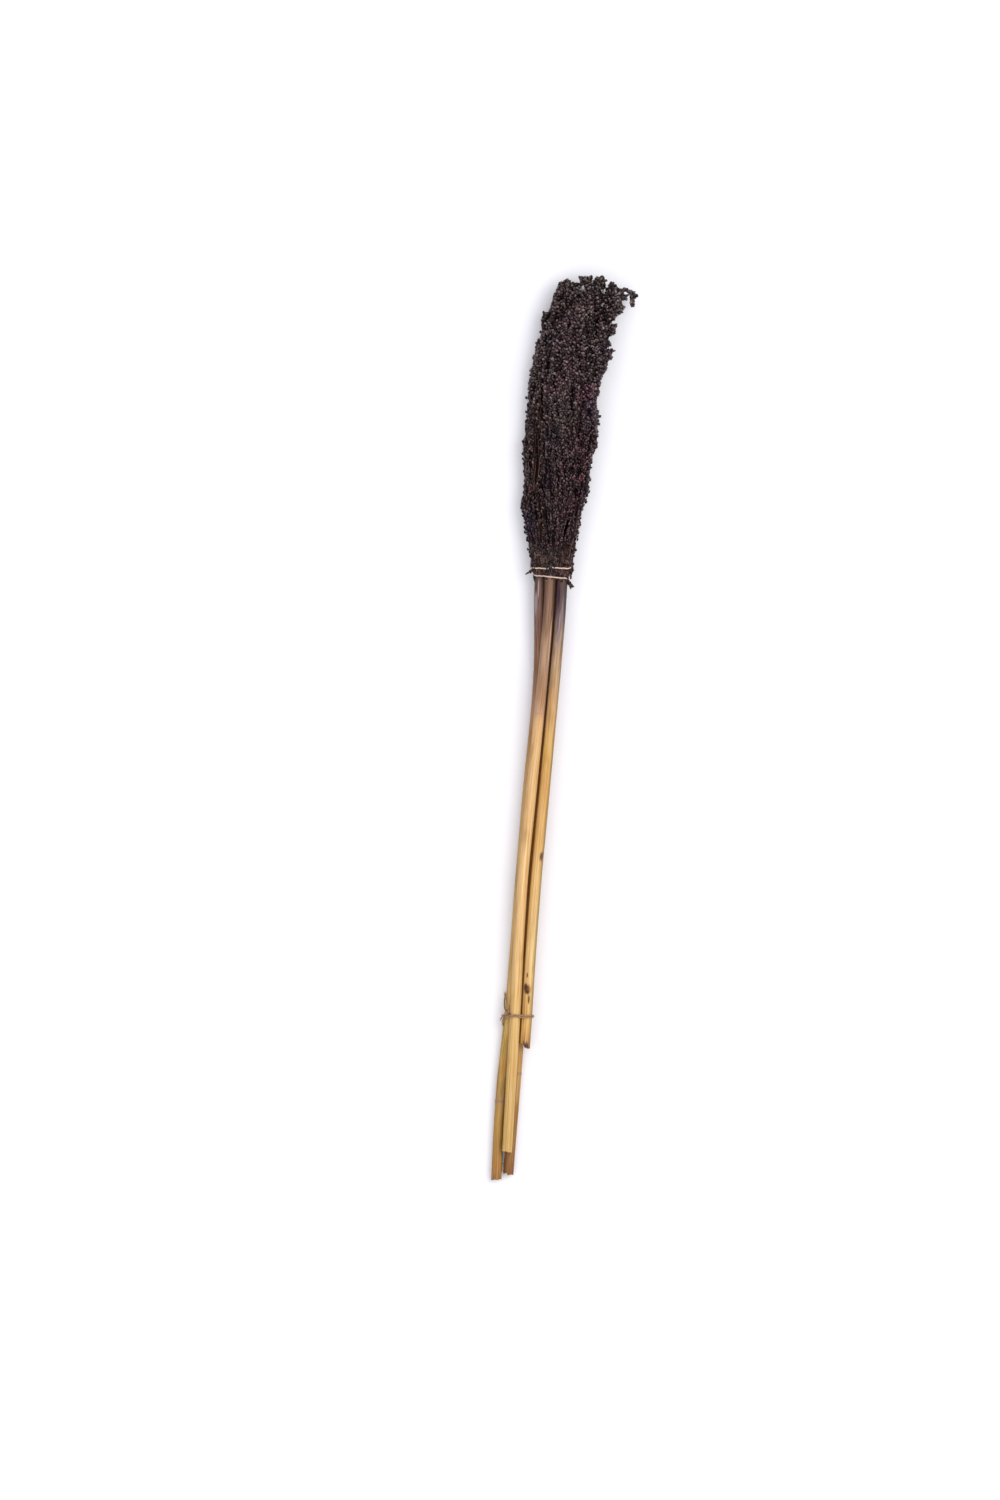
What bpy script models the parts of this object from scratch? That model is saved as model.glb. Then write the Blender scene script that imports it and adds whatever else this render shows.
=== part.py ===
"""Dried cantal grass, a dyed sorghum: four cut canes with their seed heads, tied into one bundle.

The bundle lies on a flat surface. Metres, +Z up, and +Y runs from the cut ends to the tips. The
origin is on the surface, under the lowest head, in the middle of the flat spot it is pressed to.
"""

import math

import bmesh
import bpy
import numpy as np
from mathutils import Matrix

MM = 0.001
SEED = 41

# Pieces that lie against each other, and a cane and the head that grows from it, are this far apart.
SEAM = 0.3 * MM
# Two heads pressed together, and two canes laid together, keep a little more.
HEAD_SEAM = 0.8 * MM
LAY_SEAM = 0.5 * MM

# The canes end here and the heads begin.
NECK_Y = -95 * MM

# The two canes that lie lowest, one row for each station from the cut end: y, x, z and radius in mm.
# Their cut ends touch the surface, and the foot tie's twine lifts them clear of it.
LOWER_CANES = {
    "left": [
        (-583, -2.0, 4.1, 4.1),
        (-555, -3.2, 4.4, 4.1),
        (-511, -4.3, 5.0, 4.1),
        (-449, -3.0, 5.95, 4.15),
        (-342, -3.7, 7.4, 4.2),
        (-278, -3.9, 8.4, 4.2),
        (-165, -4.2, 10.7, 4.2),
        (-118, -8.2, 12.4, 4.2),
        (-95, -9.6, 13.0, 4.2),
    ],
    "under": [
        (-577, 7.2, 4.1, 4.1),
        (-555, 7.0, 4.4, 4.1),
        (-511, 6.7, 5.0, 4.1),
        (-449, 6.0, 5.95, 4.15),
        (-342, 5.6, 7.3, 4.2),
        (-278, 5.4, 8.2, 4.2),
        (-165, 5.2, 9.8, 4.2),
        (-118, 3.5, 10.4, 4.2),
        (-95, 2.0, 10.5, 4.2),
    ],
}

# The two canes that lie in the hollows over them: y, x and radius in mm. Their height follows.
UPPER_CANES = {
    "top": [
        (-560, 4.6, 4.0),
        (-511, 3.1, 4.1),
        (-449, 1.5, 4.15),
        (-395, -0.6, 4.15),
        (-342, -1.8, 4.2),
        (-278, -1.2, 4.2),
        (-220, -0.5, 4.2),
        (-165, 0.0, 4.2),
        (-118, -0.4, 4.2),
        (-95, -1.4, 4.2),
    ],
    "right": [
        (-473, 11.6, 4.0),
        (-449, 11.0, 4.15),
        (-395, 9.6, 4.15),
        (-342, 8.9, 4.2),
        (-278, 9.3, 4.2),
        (-220, 9.6, 4.2),
        (-165, 9.8, 4.2),
        (-118, 9.4, 4.2),
        (-95, 8.6, 4.2),
    ],
}

# The heads from the neck to the tip: y, x, z and the radius out to the spikelets' tips, in mm. The
# row at the neck is the end of the head's own cane.
HEADS = {
    "left": [
        (-80, -11.6, 12.6, 6.8),
        (-62, -14.2, 11.6, 9.4),
        (-42, -16.4, 10.2, 11.6),
        (0, -18.0, 9.6, 12.6),
        (42, -18.0, 9.6, 12.6),
        (85, -15.4, 11.4, 12.2),
        (108, -14.4, 13.6, 11.2),
        (124, -10.8, 15.4, 8.2),
        (134, -9.4, 16.4, 6.6),
        (138, -9.2, 16.8, 4.4),
    ],
    "top": [
        (-80, -0.6, 20.4, 6.8),
        (-62, 0.6, 22.2, 9.6),
        (-42, 1.4, 23.6, 12.0),
        (0, -0.2, 25.4, 14.2),
        (42, -6.2, 25.8, 15.2),
        (85, -2.6, 26.6, 15.2),
        (112, 2.8, 26.4, 13.4),
        (130, 6.6, 25.8, 10.8),
        (138, 7.8, 25.4, 8.0),
        (142, 8.2, 25.2, 4.8),
    ],
    "under": [
        (-80, 1.8, 10.4, 6.8),
        (-62, 1.2, 10.0, 9.4),
        (-42, 0.6, 9.4, 11.4),
        (0, 0.0, 8.8, 13.0),
        (42, 0.6, 8.8, 12.8),
        (80, 6.0, 10.4, 13.4),
        (102, 11.0, 12.2, 12.8),
        (120, 15.0, 14.4, 11.4),
        (134, 17.4, 16.2, 8.6),
        (139, 18.0, 16.8, 6.4),
        (142, 18.2, 17.0, 4.0),
    ],
    "right": [
        (-80, 8.9, 16.8, 6.2),
        (-62, 9.2, 17.4, 8.2),
        (-42, 9.8, 18.0, 9.8),
        (-16, 10.8, 18.6, 12.0),
        (10, 11.2, 19.2, 12.4),
        (42, 11.2, 20.0, 12.4),
        (66, 13.4, 20.6, 12.8),
        (84, 15.8, 21.2, 13.4),
        (100, 18.8, 21.6, 14.0),
        (114, 22.0, 21.8, 11.8),
        (126, 26.0, 22.0, 10.0),
        (134, 27.6, 22.2, 7.0),
        (138, 28.0, 22.2, 4.2),
    ],
}

# The spikelets are raised from a head's surface as the peaks of a net: its sides and the distance
# between its rings, then how high a peak stands and how far it leans towards the tip.
NET_SIDES = 15
NET_ROW = 3.0 * MM
PEAK_HEIGHT = 3.2 * MM
HEIGHT_SPREAD = (0.75, 1.25)
PEAK_LEAN = 1.3 * MM
# The share of a peak's height that stands beyond the head's radius.
PEAK_SHARE = 0.25
# The peaks grow to full height over this much of the neck.
BARE_NECK = 20 * MM
# The net's points crowd on a head's outer side by this share, and thin out where heads press.
CROWDING = 0.42
# Each branch's spikelets make a low lobe: its depth as a share of the radius, and the length of
# the two waves that lobes follow along the head.
LOBE_DEPTH = 0.05
LOBE_WAVES = (70 * MM, 42 * MM)
# Each inner point is out of its place by up to this share of the distance to the next.
JITTER = 0.2
LEAST_REACH = 1.5 * MM
TIP_POINT = 1.5 * MM

# The branch tips that stand out of each head's crown.
TUFTS = 7
TUFT_ZONE = 30 * MM
TUFT_LENGTH = 12 * MM
LENGTH_SPREAD = (0.8, 1.15)
TUFT_RADIUS = 2.6 * MM
TUFT_LEAN = 0.5
# Their angles step by the golden section over this much to each side.
TUFT_SPREAD = math.radians(75)
GOLDEN = (math.sqrt(5) - 1) / 2

# The loose spray that arches out of the right-hand head and droops: its branch and seed clusters.
SPRAY_LINE = [
    (22, 120, 22),
    (29, 132, 24),
    (38, 134, 22),
    (44, 133, 18),
    (46.5, 129, 15),
    (45.5, 123, 13),
]
SPRAY_RADIUS = 1.0 * MM
SPRAY_POINTS = 9
SPRAY_CLUSTERS = 13
SPRAY_WIDTH = 2.4 * MM
CLUSTER_RADIUS = 2.7 * MM
CLUSTER_LENGTH = 8 * MM

CANE_SIDES = 12
CANE_STEP = 27 * MM

TWINE_RADIUS = 0.65 * MM
TWINE_SIDES = 6
TURN_POINTS = 22
CROSSING_POINTS = 7
END_POINTS = 5
# Each tie has two turns: where each passes, and how far it slants from the middle to the right.
NECK_TURNS = [(-99.2 * MM, -0.3 * MM), (-92.0 * MM, 1.8 * MM)]
FOOT_TURNS = [(-449.6 * MM, 0.5 * MM), (-448.0 * MM, 0.5 * MM)]
# The knots' places round the bundle, from the right over the top, and their half sizes.
NECK_KNOT_ANGLE = math.radians(-60)
FOOT_KNOT_ANGLE = math.radians(150)
KNOT_SIZE = (1.7 * MM, 2.2 * MM, 1.7 * MM)
KNOT_WIDTH = math.radians(12)
# The strand that crosses from one turn to the other runs this far round the bundle.
CROSSING_SPAN = math.radians(60)
# The free ends of the twine, as steps from the knot in mm.
NECK_ENDS = [[(1.5, -4, -0.4), (2.5, -9, -0.8)], [(2.4, 4, -0.2), (4.4, 8, -0.8)]]
FOOT_ENDS = [[(-1.8, 5, 0.8), (-3.3, 14, -1.2)], [(-1.6, -4, -0.6), (-2.8, -11.5, -3.0)]]

COLOURS = {
    "straw": ((0.62, 0.41, 0.17), 0.5),
    "dyed_seed": ((0.035, 0.026, 0.028), 0.6),
    "pale_twine": ((0.56, 0.37, 0.28), 0.85),
    "brown_twine": ((0.36, 0.22, 0.11), 0.85),
}


def clear_scene():
    for obj in list(bpy.data.objects):
        bpy.data.objects.remove(obj)


def material(name):
    colour, roughness = COLOURS[name]
    made = bpy.data.materials.get(name) or bpy.data.materials.new(name)
    made.use_nodes = True
    surface = made.node_tree.nodes["Principled BSDF"]
    surface.inputs["Base Color"].default_value = (*colour, 1)
    surface.inputs["Roughness"].default_value = roughness
    surface.inputs["Metallic"].default_value = 0
    return made


def face_outwards(mesh):
    """Turns a closed mesh's faces outwards, by the sign of the volume they enclose."""
    mesh.calc_loop_triangles()
    corners = np.array([[mesh.vertices[i].co for i in t.vertices] for t in mesh.loop_triangles])
    if np.linalg.det(corners).sum() < 0:
        mesh.flip_normals()


def new_object(name, points, faces, colour):
    mesh = bpy.data.meshes.new(name)
    mesh.from_pydata([tuple(p) for p in points], [], [tuple(f) for f in faces])
    mesh.validate()
    mesh.materials.append(material(colour))
    face_outwards(mesh)
    mesh.update()
    obj = bpy.data.objects.new(name, mesh)
    bpy.context.scene.collection.objects.link(obj)
    return obj


def along(rows, at):
    """The other columns of the rows, all in mm, where their first column is at (in metres). They
    follow a smooth cubic curve through the rows, with each slope taken from the rows beside it."""
    rows = np.array(rows, float) * MM
    stations, values = rows[:, 0], rows[:, 1:]
    slopes = np.gradient(values, stations, axis=0)
    at = np.clip(np.asarray(at, float), stations[0], stations[-1])
    left = np.clip(np.searchsorted(stations, at, side="right") - 1, 0, len(stations) - 2)
    width = (stations[left + 1] - stations[left])[..., None]
    t = (at - stations[left])[..., None] / width
    start = (1 + 2 * t) * (1 - t) ** 2 * values[left] + t * (1 - t) ** 2 * width * slopes[left]
    end = t**2 * (3 - 2 * t) * values[left + 1] + t**2 * (t - 1) * width * slopes[left + 1]
    return np.moveaxis(start + end, -1, 0)


def resting_row(y, x, radius):
    """A row for a cane that lies on the lower canes: as low as each of them lets it lie."""
    heights = []
    for rows in LOWER_CANES.values():
        below_x, below_z, below_radius = along(rows, y * MM) / MM
        apart = radius + below_radius + LAY_SEAM / MM
        if abs(x - below_x) < apart:
            heights.append(below_z + math.sqrt(apart**2 - (x - below_x) ** 2))
    return (y, x, max(heights), radius)


def settle_canes():
    """Every cane's rows, and every head's with the end of its cane as the first."""
    canes = dict(LOWER_CANES)
    for name, rows in UPPER_CANES.items():
        canes[name] = [resting_row(*row) for row in rows]
    return canes, {name: [canes[name][-1], *HEADS[name]] for name in HEADS}


CANE_ROWS, HEAD_ROWS = settle_canes()


def outward(name):
    """The direction from the middle of the bundle to a head, as an angle from +X towards +Z."""
    middles = {other: along(rows, 0)[:2] for other, rows in HEAD_ROWS.items()}
    x, z = middles[name] - np.mean(list(middles.values()), axis=0)
    return math.atan2(z, x)


def room(name, y, angle):
    """How far a head may reach from its axis: to the surface it lies on, and to the plane where it
    and each other head press together, which is the radical line of their two circles."""
    x, z, radius = along(HEAD_ROWS[name], y)
    across, up = np.cos(angle), np.sin(angle)
    reach = np.where(up < 0, z / np.maximum(-up, 1e-6), np.inf)
    for other, rows in HEAD_ROWS.items():
        if other == name:
            continue
        other_x, other_z, other_radius = along(rows, y)
        aside, above = other_x - x, other_z - z
        apart = np.hypot(aside, above)
        plane = (apart**2 + radius**2 - other_radius**2) / (2 * apart) - HEAD_SEAM / 2
        towards = (across * aside + up * above) / apart
        meets = (y < rows[-1][0] * MM + PEAK_HEIGHT) & (towards > 0)
        limit = plane / np.maximum(towards, 1e-6)
        reach = np.where(meets, np.minimum(reach, limit), reach)
    return reach


def net_faces(rings, sides):
    """Triangles between rings whose points are set half a step round from ring to ring."""
    faces = []
    for ring in range(rings - 1):
        low, high = ring * sides, (ring + 1) * sides
        for a in range(sides):
            b = (a + 1) % sides
            if ring % 2 == 0:
                faces += [(low + a, low + b, high + a), (high + a, low + b, high + b)]
            else:
                faces += [(low + a, high + b, high + a), (low + a, low + b, high + b)]
    return faces


def head_net(name, rng):
    """The points of a head: rings of a triangular net, in which every third point is the tip of a
    spikelet that stands out of the surface and leans towards the tip of the head."""
    start, end = NECK_Y + SEAM / 2, HEAD_ROWS[name][-1][0] * MM
    rings = 2 * round((end - start) / NET_ROW / 2) + 1
    ring, side = np.meshgrid(np.arange(rings), np.arange(NET_SIDES), indexing="ij")
    turn = (side + ring % 2 / 2) * 2 * math.pi / NET_SIDES
    angle = outward(name) + turn - CROWDING * np.sin(turn)
    y = start + (end - start) * ring / (rings - 1)
    inner = (ring > 0) & (ring < rings - 1)
    angle = angle + inner * rng.uniform(-JITTER, JITTER, y.shape) * 2 * math.pi / NET_SIDES
    y = y + inner * rng.uniform(-JITTER, JITTER, y.shape) * NET_ROW
    is_peak = (side - (ring - ring % 2) // 2 - ring) % 3 == 0
    growth = np.clip((y - start) / BARE_NECK, 0, 1) * np.clip((end - y) / (2 * NET_ROW), 0, 1)
    y = np.where(is_peak, y + PEAK_LEAN * growth, y)
    x, z, radius = along(HEAD_ROWS[name], y)
    long_wave, short_wave = (2 * math.pi * y / wave for wave in LOBE_WAVES)
    lobes = 1 + LOBE_DEPTH * growth * np.sin(5 * angle + long_wave) * np.sin(2 * angle + short_wave)
    height = PEAK_HEIGHT * growth * rng.uniform(*HEIGHT_SPREAD, y.shape)
    reach = radius * lobes + np.where(is_peak, PEAK_SHARE, PEAK_SHARE - 1) * height
    reach = np.minimum(np.maximum(reach, LEAST_REACH), room(name, y, angle))
    points = np.stack([x + reach * np.cos(angle), y, z + reach * np.sin(angle)], axis=-1)
    return points.reshape(-1, 3), rings


def seed_cluster(name, centre, towards, radius, length):
    """A pointed bead of seed along a direction: two rings of four points between two tips."""
    towards = towards / np.linalg.norm(towards)
    side = np.cross(towards, (0, 0, 1) if abs(towards[2]) < 0.9 else (1, 0, 0))
    side /= np.linalg.norm(side)
    up = np.cross(side, towards)
    points = [centre - towards * length / 2]
    for share, turn in ((-0.18, 0), (0.18, math.pi / 4)):
        for corner in range(4):
            a = turn + corner * math.pi / 2
            out = side * math.cos(a) + up * math.sin(a)
            points.append(centre + towards * share * length + radius * out)
    points.append(centre + towards * length / 2)
    faces = []
    for corner in range(4):
        after = (corner + 1) % 4
        faces.append((0, 1 + after, 1 + corner))
        faces.append((1 + corner, 1 + after, 5 + corner))
        faces.append((1 + after, 5 + after, 5 + corner))
        faces.append((5 + corner, 5 + after, 9))
    return new_object(name, points, faces, "dyed_seed")


def tube(name, line, radius, sides, colour, closed=False, beside=(0, 1, 0)):
    """A tube of one radius along a line of points: a closed ring, or open with flat ends. Its first
    corner points square to the line and to the beside direction."""
    line = np.asarray(line, float)
    if closed:
        tangent = np.roll(line, -1, axis=0) - np.roll(line, 1, axis=0)
    else:
        tangent = np.gradient(line, axis=0)
    tangent /= np.linalg.norm(tangent, axis=1, keepdims=True)
    out = np.cross(tangent, beside)
    out /= np.linalg.norm(out, axis=1, keepdims=True)
    across = np.cross(tangent, out)
    a = np.arange(sides)[:, None] * 2 * math.pi / sides
    rings = line[:, None] + radius * (np.cos(a) * out[:, None] + np.sin(a) * across[:, None])
    count = len(line)
    faces = []
    for ring in range(count if closed else count - 1):
        low, high = ring * sides, (ring + 1) % count * sides
        for k in range(sides):
            after = (k + 1) % sides
            faces.append((low + k, low + after, high + after, high + k))
    if not closed:
        faces.append(tuple(reversed(range(sides))))
        faces.append(tuple((count - 1) * sides + k for k in range(sides)))
    return new_object(name, rings.reshape(-1, 3), faces, colour)


def join(obj, others):
    """Fuses other closed shapes into obj with one Boolean union, and removes them."""
    group = bpy.data.collections.new(obj.name + "_pieces")
    bpy.context.scene.collection.children.link(group)
    for other in others:
        bpy.context.scene.collection.objects.unlink(other)
        group.objects.link(other)
    union = obj.modifiers.new("union", "BOOLEAN")
    union.operation = "UNION"
    union.operand_type = "COLLECTION"
    union.collection = group
    graph = bpy.context.evaluated_depsgraph_get()
    mesh = bpy.data.meshes.new_from_object(obj.evaluated_get(graph))
    obj.modifiers.clear()
    obj.data = mesh
    for other in others:
        bpy.data.objects.remove(other)
    bpy.data.collections.remove(group)
    return obj


def smooth_route(route, count):
    """Points at even steps on a smooth curve through a route's own points, which are in mm."""
    route = np.array(route, float)
    steps = np.r_[0, np.cumsum(np.linalg.norm(np.diff(route, axis=0), axis=1))]
    rows = np.column_stack([steps, route])
    return along(rows, np.linspace(0, steps[-1] * MM, count)).T


def crown_tufts(name, rng):
    """The branch tips that stand out of the outer side of a head's crown and lean outwards."""
    made = []
    last = HEAD_ROWS[name][-1][0] * MM
    for k in range(TUFTS):
        y = last - TUFT_ZONE * (k + 0.5) / TUFTS
        angle = outward(name) + TUFT_SPREAD * (2 * (k * GOLDEN % 1) - 1)
        out = np.array([math.cos(angle), 0, math.sin(angle)])
        x, z, radius = along(HEAD_ROWS[name], y)
        root = np.array([x, y, z]) + (radius - TUFT_RADIUS / 2) * out
        towards = np.array([0, 1, 0]) + TUFT_LEAN * out
        length = TUFT_LENGTH * rng.uniform(*LENGTH_SPREAD)
        made.append(seed_cluster(f"{name}_tuft_{k}", root, towards, TUFT_RADIUS, length))
    return made


def drooping_spray(rng):
    """The loose spray of the right-hand head: an arched branch hung with seed clusters."""
    line = smooth_route(SPRAY_LINE, SPRAY_POINTS)
    made = [tube("spray_branch", line, SPRAY_RADIUS, 5, "dyed_seed", beside=(0, 0, 1))]
    beads = smooth_route(SPRAY_LINE, SPRAY_CLUSTERS + 2)[2:]
    ahead = np.gradient(beads, axis=0)
    for k, (bead, towards) in enumerate(zip(beads, ahead)):
        name = f"spray_cluster_{k}"
        towards = towards / np.linalg.norm(towards) + rng.uniform(-0.5, 0.5, 3)
        centre = bead + rng.uniform(-SPRAY_WIDTH, SPRAY_WIDTH, 3) * (1 - k / SPRAY_CLUSTERS)
        made.append(seed_cluster(name, centre, towards, CLUSTER_RADIUS, CLUSTER_LENGTH))
    return made


def make_head(name, rng):
    """A head: its net of spikelets closed by a flat face at the neck and a point at the tip."""
    points, rings = head_net(name, rng)
    last_y, last_x, last_z, _ = HEAD_ROWS[name][-1]
    points = np.vstack([points, [last_x * MM, last_y * MM + TIP_POINT, last_z * MM]])
    peak, top = len(points) - 1, (rings - 1) * NET_SIDES
    faces = net_faces(rings, NET_SIDES)
    faces.append(tuple(reversed(range(NET_SIDES))))
    faces += [(top + k, top + (k + 1) % NET_SIDES, peak) for k in range(NET_SIDES)]
    head = new_object(f"head_{name}", points, faces, "dyed_seed")
    extra = crown_tufts(name, rng)
    if name == "right":
        extra += drooping_spray(rng)
    return join(head, extra)


def make_cane(name):
    """A cane: one tube that narrows and bends from station to station, cut square at its end."""
    rows = CANE_ROWS[name]
    start, end = rows[0][0] * MM, NECK_Y - SEAM / 2
    rings = round((end - start) / CANE_STEP) + 1
    y = np.linspace(start, end, rings)[:, None]
    x, z, radius = along(rows, y)
    a = -math.pi / 2 + np.arange(CANE_SIDES) * 2 * math.pi / CANE_SIDES
    points = np.stack([x + radius * np.cos(a), y + 0 * a, z + radius * np.sin(a)], axis=-1)
    faces = []
    for low in range(0, (rings - 1) * CANE_SIDES, CANE_SIDES):
        for k in range(CANE_SIDES):
            after = (k + 1) % CANE_SIDES
            faces.append((low + k, low + after, low + CANE_SIDES + after, low + CANE_SIDES + k))
    faces.append(tuple(reversed(range(CANE_SIDES))))
    faces.append(tuple((rings - 1) * CANE_SIDES + k for k in range(CANE_SIDES)))
    cane = new_object(f"cane_{name}", points.reshape(-1, 3), faces, "straw")
    cane.data.shade_smooth()
    cane.data.set_sharp_from_angle(angle=math.radians(45))
    return cane


def circles_at(y):
    """Centre and radius of each cane, or past the neck of each head, that a tie goes round at y."""
    rows = CANE_ROWS if y < NECK_Y else HEAD_ROWS
    return np.array([along(found, y) for found in rows.values() if y > found[0][0] * MM])


def round_the_bundle(turn, angles):
    """Points of a taut turn round the bundle: for each outward angle, the point of the circles that
    lies furthest that way, and the twine's own radius beyond it."""
    y, slant = turn
    out = np.stack([np.cos(angles), np.sin(angles)], axis=-1)
    circles = circles_at(y)
    support = circles[:, :2] @ out.T + circles[:, 2:]
    nearest = circles[support.argmax(axis=0)]
    flat = nearest[:, :2] + out * (nearest[:, 2:] + SEAM + TWINE_RADIUS)
    return np.stack([flat[:, 0], y + slant * out[:, 0], flat[:, 1]], axis=-1)


def make_knot(name, centre, angle, colour):
    """A knot: a small ball, flattened against the bundle."""
    placed = Matrix.Translation(centre) @ Matrix.Rotation(-angle, 4, "Y")
    placed = placed @ Matrix.Diagonal((*KNOT_SIZE, 1))
    ball = bmesh.new()
    bmesh.ops.create_icosphere(ball, subdivisions=1, radius=1, matrix=placed)
    points = [tuple(v.co) for v in ball.verts]
    faces = [[v.index for v in f.verts] for f in ball.faces]
    ball.free()
    return new_object(name, points, faces, colour)


def make_tie(name, turns, knot_angle, ends, colour):
    """A tie: two turns, the strand that crosses from one to the other, the knot and its two ends."""

    def strand(part, line, **how):
        return tube(f"{name}_{part}", line, TWINE_RADIUS, TWINE_SIDES, colour, **how)

    angles = np.arange(TURN_POINTS) * 2 * math.pi / TURN_POINTS
    first = strand("turn_0", round_the_bundle(turns[0], angles), closed=True)
    others = [strand("turn_1", round_the_bundle(turns[1], angles), closed=True)]
    share = np.linspace(0, 1, CROSSING_POINTS)
    span = knot_angle + CROSSING_SPAN * share
    rise = (round_the_bundle(turns[1], span) - round_the_bundle(turns[0], span)) * share[:, None]
    others.append(strand("crossing", round_the_bundle(turns[0], span) + rise))
    beside = knot_angle + np.array([-KNOT_WIDTH, KNOT_WIDTH])
    out = np.array([math.cos(knot_angle), 0, math.sin(knot_angle)])
    seat = round_the_bundle(turns[0], beside).mean(axis=0) + out * (KNOT_SIZE[0] - TWINE_RADIUS)
    others.append(make_knot(f"{name}_knot", seat, knot_angle, colour))
    for k, steps in enumerate(ends):
        route = [seat / MM, *(seat / MM + np.array(step) for step in steps)]
        others.append(strand(f"end_{k}", smooth_route(route, END_POINTS), beside=(0, 0, 1)))
    first.name = name
    return join(first, others)


clear_scene()
generator = np.random.default_rng(SEED)
for stalk in CANE_ROWS:
    make_cane(stalk)
    make_head(stalk, generator)
make_tie("tie_neck", NECK_TURNS, NECK_KNOT_ANGLE, NECK_ENDS, "pale_twine")
make_tie("tie_foot", FOOT_TURNS, FOOT_KNOT_ANGLE, FOOT_ENDS, "brown_twine")
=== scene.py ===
# %% [markdown]
# # Dried cantal grass: four dyed seed heads on straw canes, tied twice
#
# Cantal grass is a sorghum, cut when its seed is ripe, dried, dyed and sold in tied bundles. This
# lesson dresses a bundle whose sizes are already settled: the frame holds four canes, four heads
# and two ties as plain solids. Every fine piece below is worked out from those solids, so it lies
# exactly where the plain one lies. Loading the frame comes first.

# %% Load the frame
import math

import bpy
import numpy as np
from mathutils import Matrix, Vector
from mathutils.bvhtree import BVHTree


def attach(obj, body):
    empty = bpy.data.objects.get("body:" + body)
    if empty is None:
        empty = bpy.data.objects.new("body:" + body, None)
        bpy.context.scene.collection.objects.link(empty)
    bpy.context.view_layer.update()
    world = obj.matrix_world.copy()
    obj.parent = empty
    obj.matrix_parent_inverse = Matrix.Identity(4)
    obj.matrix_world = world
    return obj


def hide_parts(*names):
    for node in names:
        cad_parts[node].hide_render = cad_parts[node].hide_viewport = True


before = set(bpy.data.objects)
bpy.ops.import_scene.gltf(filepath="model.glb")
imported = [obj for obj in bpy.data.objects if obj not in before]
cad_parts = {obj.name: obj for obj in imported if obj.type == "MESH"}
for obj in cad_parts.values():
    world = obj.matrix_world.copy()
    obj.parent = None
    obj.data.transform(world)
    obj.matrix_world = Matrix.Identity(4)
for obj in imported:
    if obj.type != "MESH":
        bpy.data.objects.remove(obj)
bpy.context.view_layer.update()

MM = 0.001
rng = np.random.default_rng(20)
NAMES = ("left", "top", "under", "right")

# %% [markdown]
# ## Reading the solids
#
# The fine pieces need three things from a plain solid: its points, its triangles and a quick
# answer to "how far is the wall from here, in this direction". The first two are arrays, and a
# bounding-volume tree gives the third.

# %% Points, triangles and the tree of a solid
def solid_of(node):
    """The distinct points of a CAD node, and the tree that rays are cast at."""
    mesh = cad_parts[node].data
    mesh.calc_loop_triangles()
    points = np.empty(len(mesh.vertices) * 3, np.float32)
    mesh.vertices.foreach_get("co", points)
    corners = np.empty(len(mesh.loop_triangles) * 3, np.int32)
    mesh.loop_triangles.foreach_get("vertices", corners)
    points = points.reshape(-1, 3).astype(float)
    tree = BVHTree.FromPolygons(points.tolist(), corners.reshape(-1, 3).tolist())
    return np.unique(np.round(points, 6), axis=0), tree


trees = {name: solid_of(f"head_{name}")[1] for name in NAMES}
print("trees:", ", ".join(trees))

# %% [markdown]
# Everything below is worked out along lines and round rings, so a few small helpers come first.
# Values between stations come from a smooth cubic, because a straight run from station to station
# would show as a kink in a glossy cane. Where one thing goes over into another, an S-curve does it
# with no edge.

# %% Curves, rings and lengths
def smooth(stations, values, at):
    """A cubic through the values, whose slope at a station is that between its neighbours."""
    slopes = np.gradient(values, stations, axis=0)
    at = np.clip(np.asarray(at, float), stations[0], stations[-1])
    left = np.clip(np.searchsorted(stations, at, side="right") - 1, 0, len(stations) - 2)
    width = stations[left + 1] - stations[left]
    t = (at - stations[left]) / width
    if values.ndim > 1:
        t, width = t[..., None], width[..., None]
    start = (1 + 2 * t) * (1 - t) ** 2 * values[left] + t * (1 - t) ** 2 * width * slopes[left]
    end = t**2 * (3 - 2 * t) * values[left + 1] + t**2 * (t - 1) * width * slopes[left + 1]
    return start + end


def ramp(value, low, high):
    """0 below low, 1 above high, and an S-curve in between."""
    t = np.clip((value - low) / (high - low), 0, 1)
    return t * t * (3 - 2 * t)


def unit(vectors):
    """The vectors at length one."""
    return vectors / np.maximum(np.linalg.norm(vectors, axis=-1, keepdims=True), 1e-12)


def circle(count):
    """Angles in equal steps once round."""
    return np.linspace(0, 2 * math.pi, count, endpoint=False)


def outwards(angle):
    """Directions square to y, at angles that start at +x and turn towards +z: (cos, 0, sin)."""
    return np.stack([np.cos(angle), 0 * angle, np.sin(angle)], axis=-1)


def run_length(line):
    """The length along a line of points, from its start to each of them."""
    return np.r_[0, np.cumsum(np.linalg.norm(np.diff(line, axis=0), axis=1))]


print("S-curve at 0, a quarter, a half and 1:", [float(ramp(x, 0, 1)) for x in (0, 0.25, 0.5, 1)])
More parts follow.
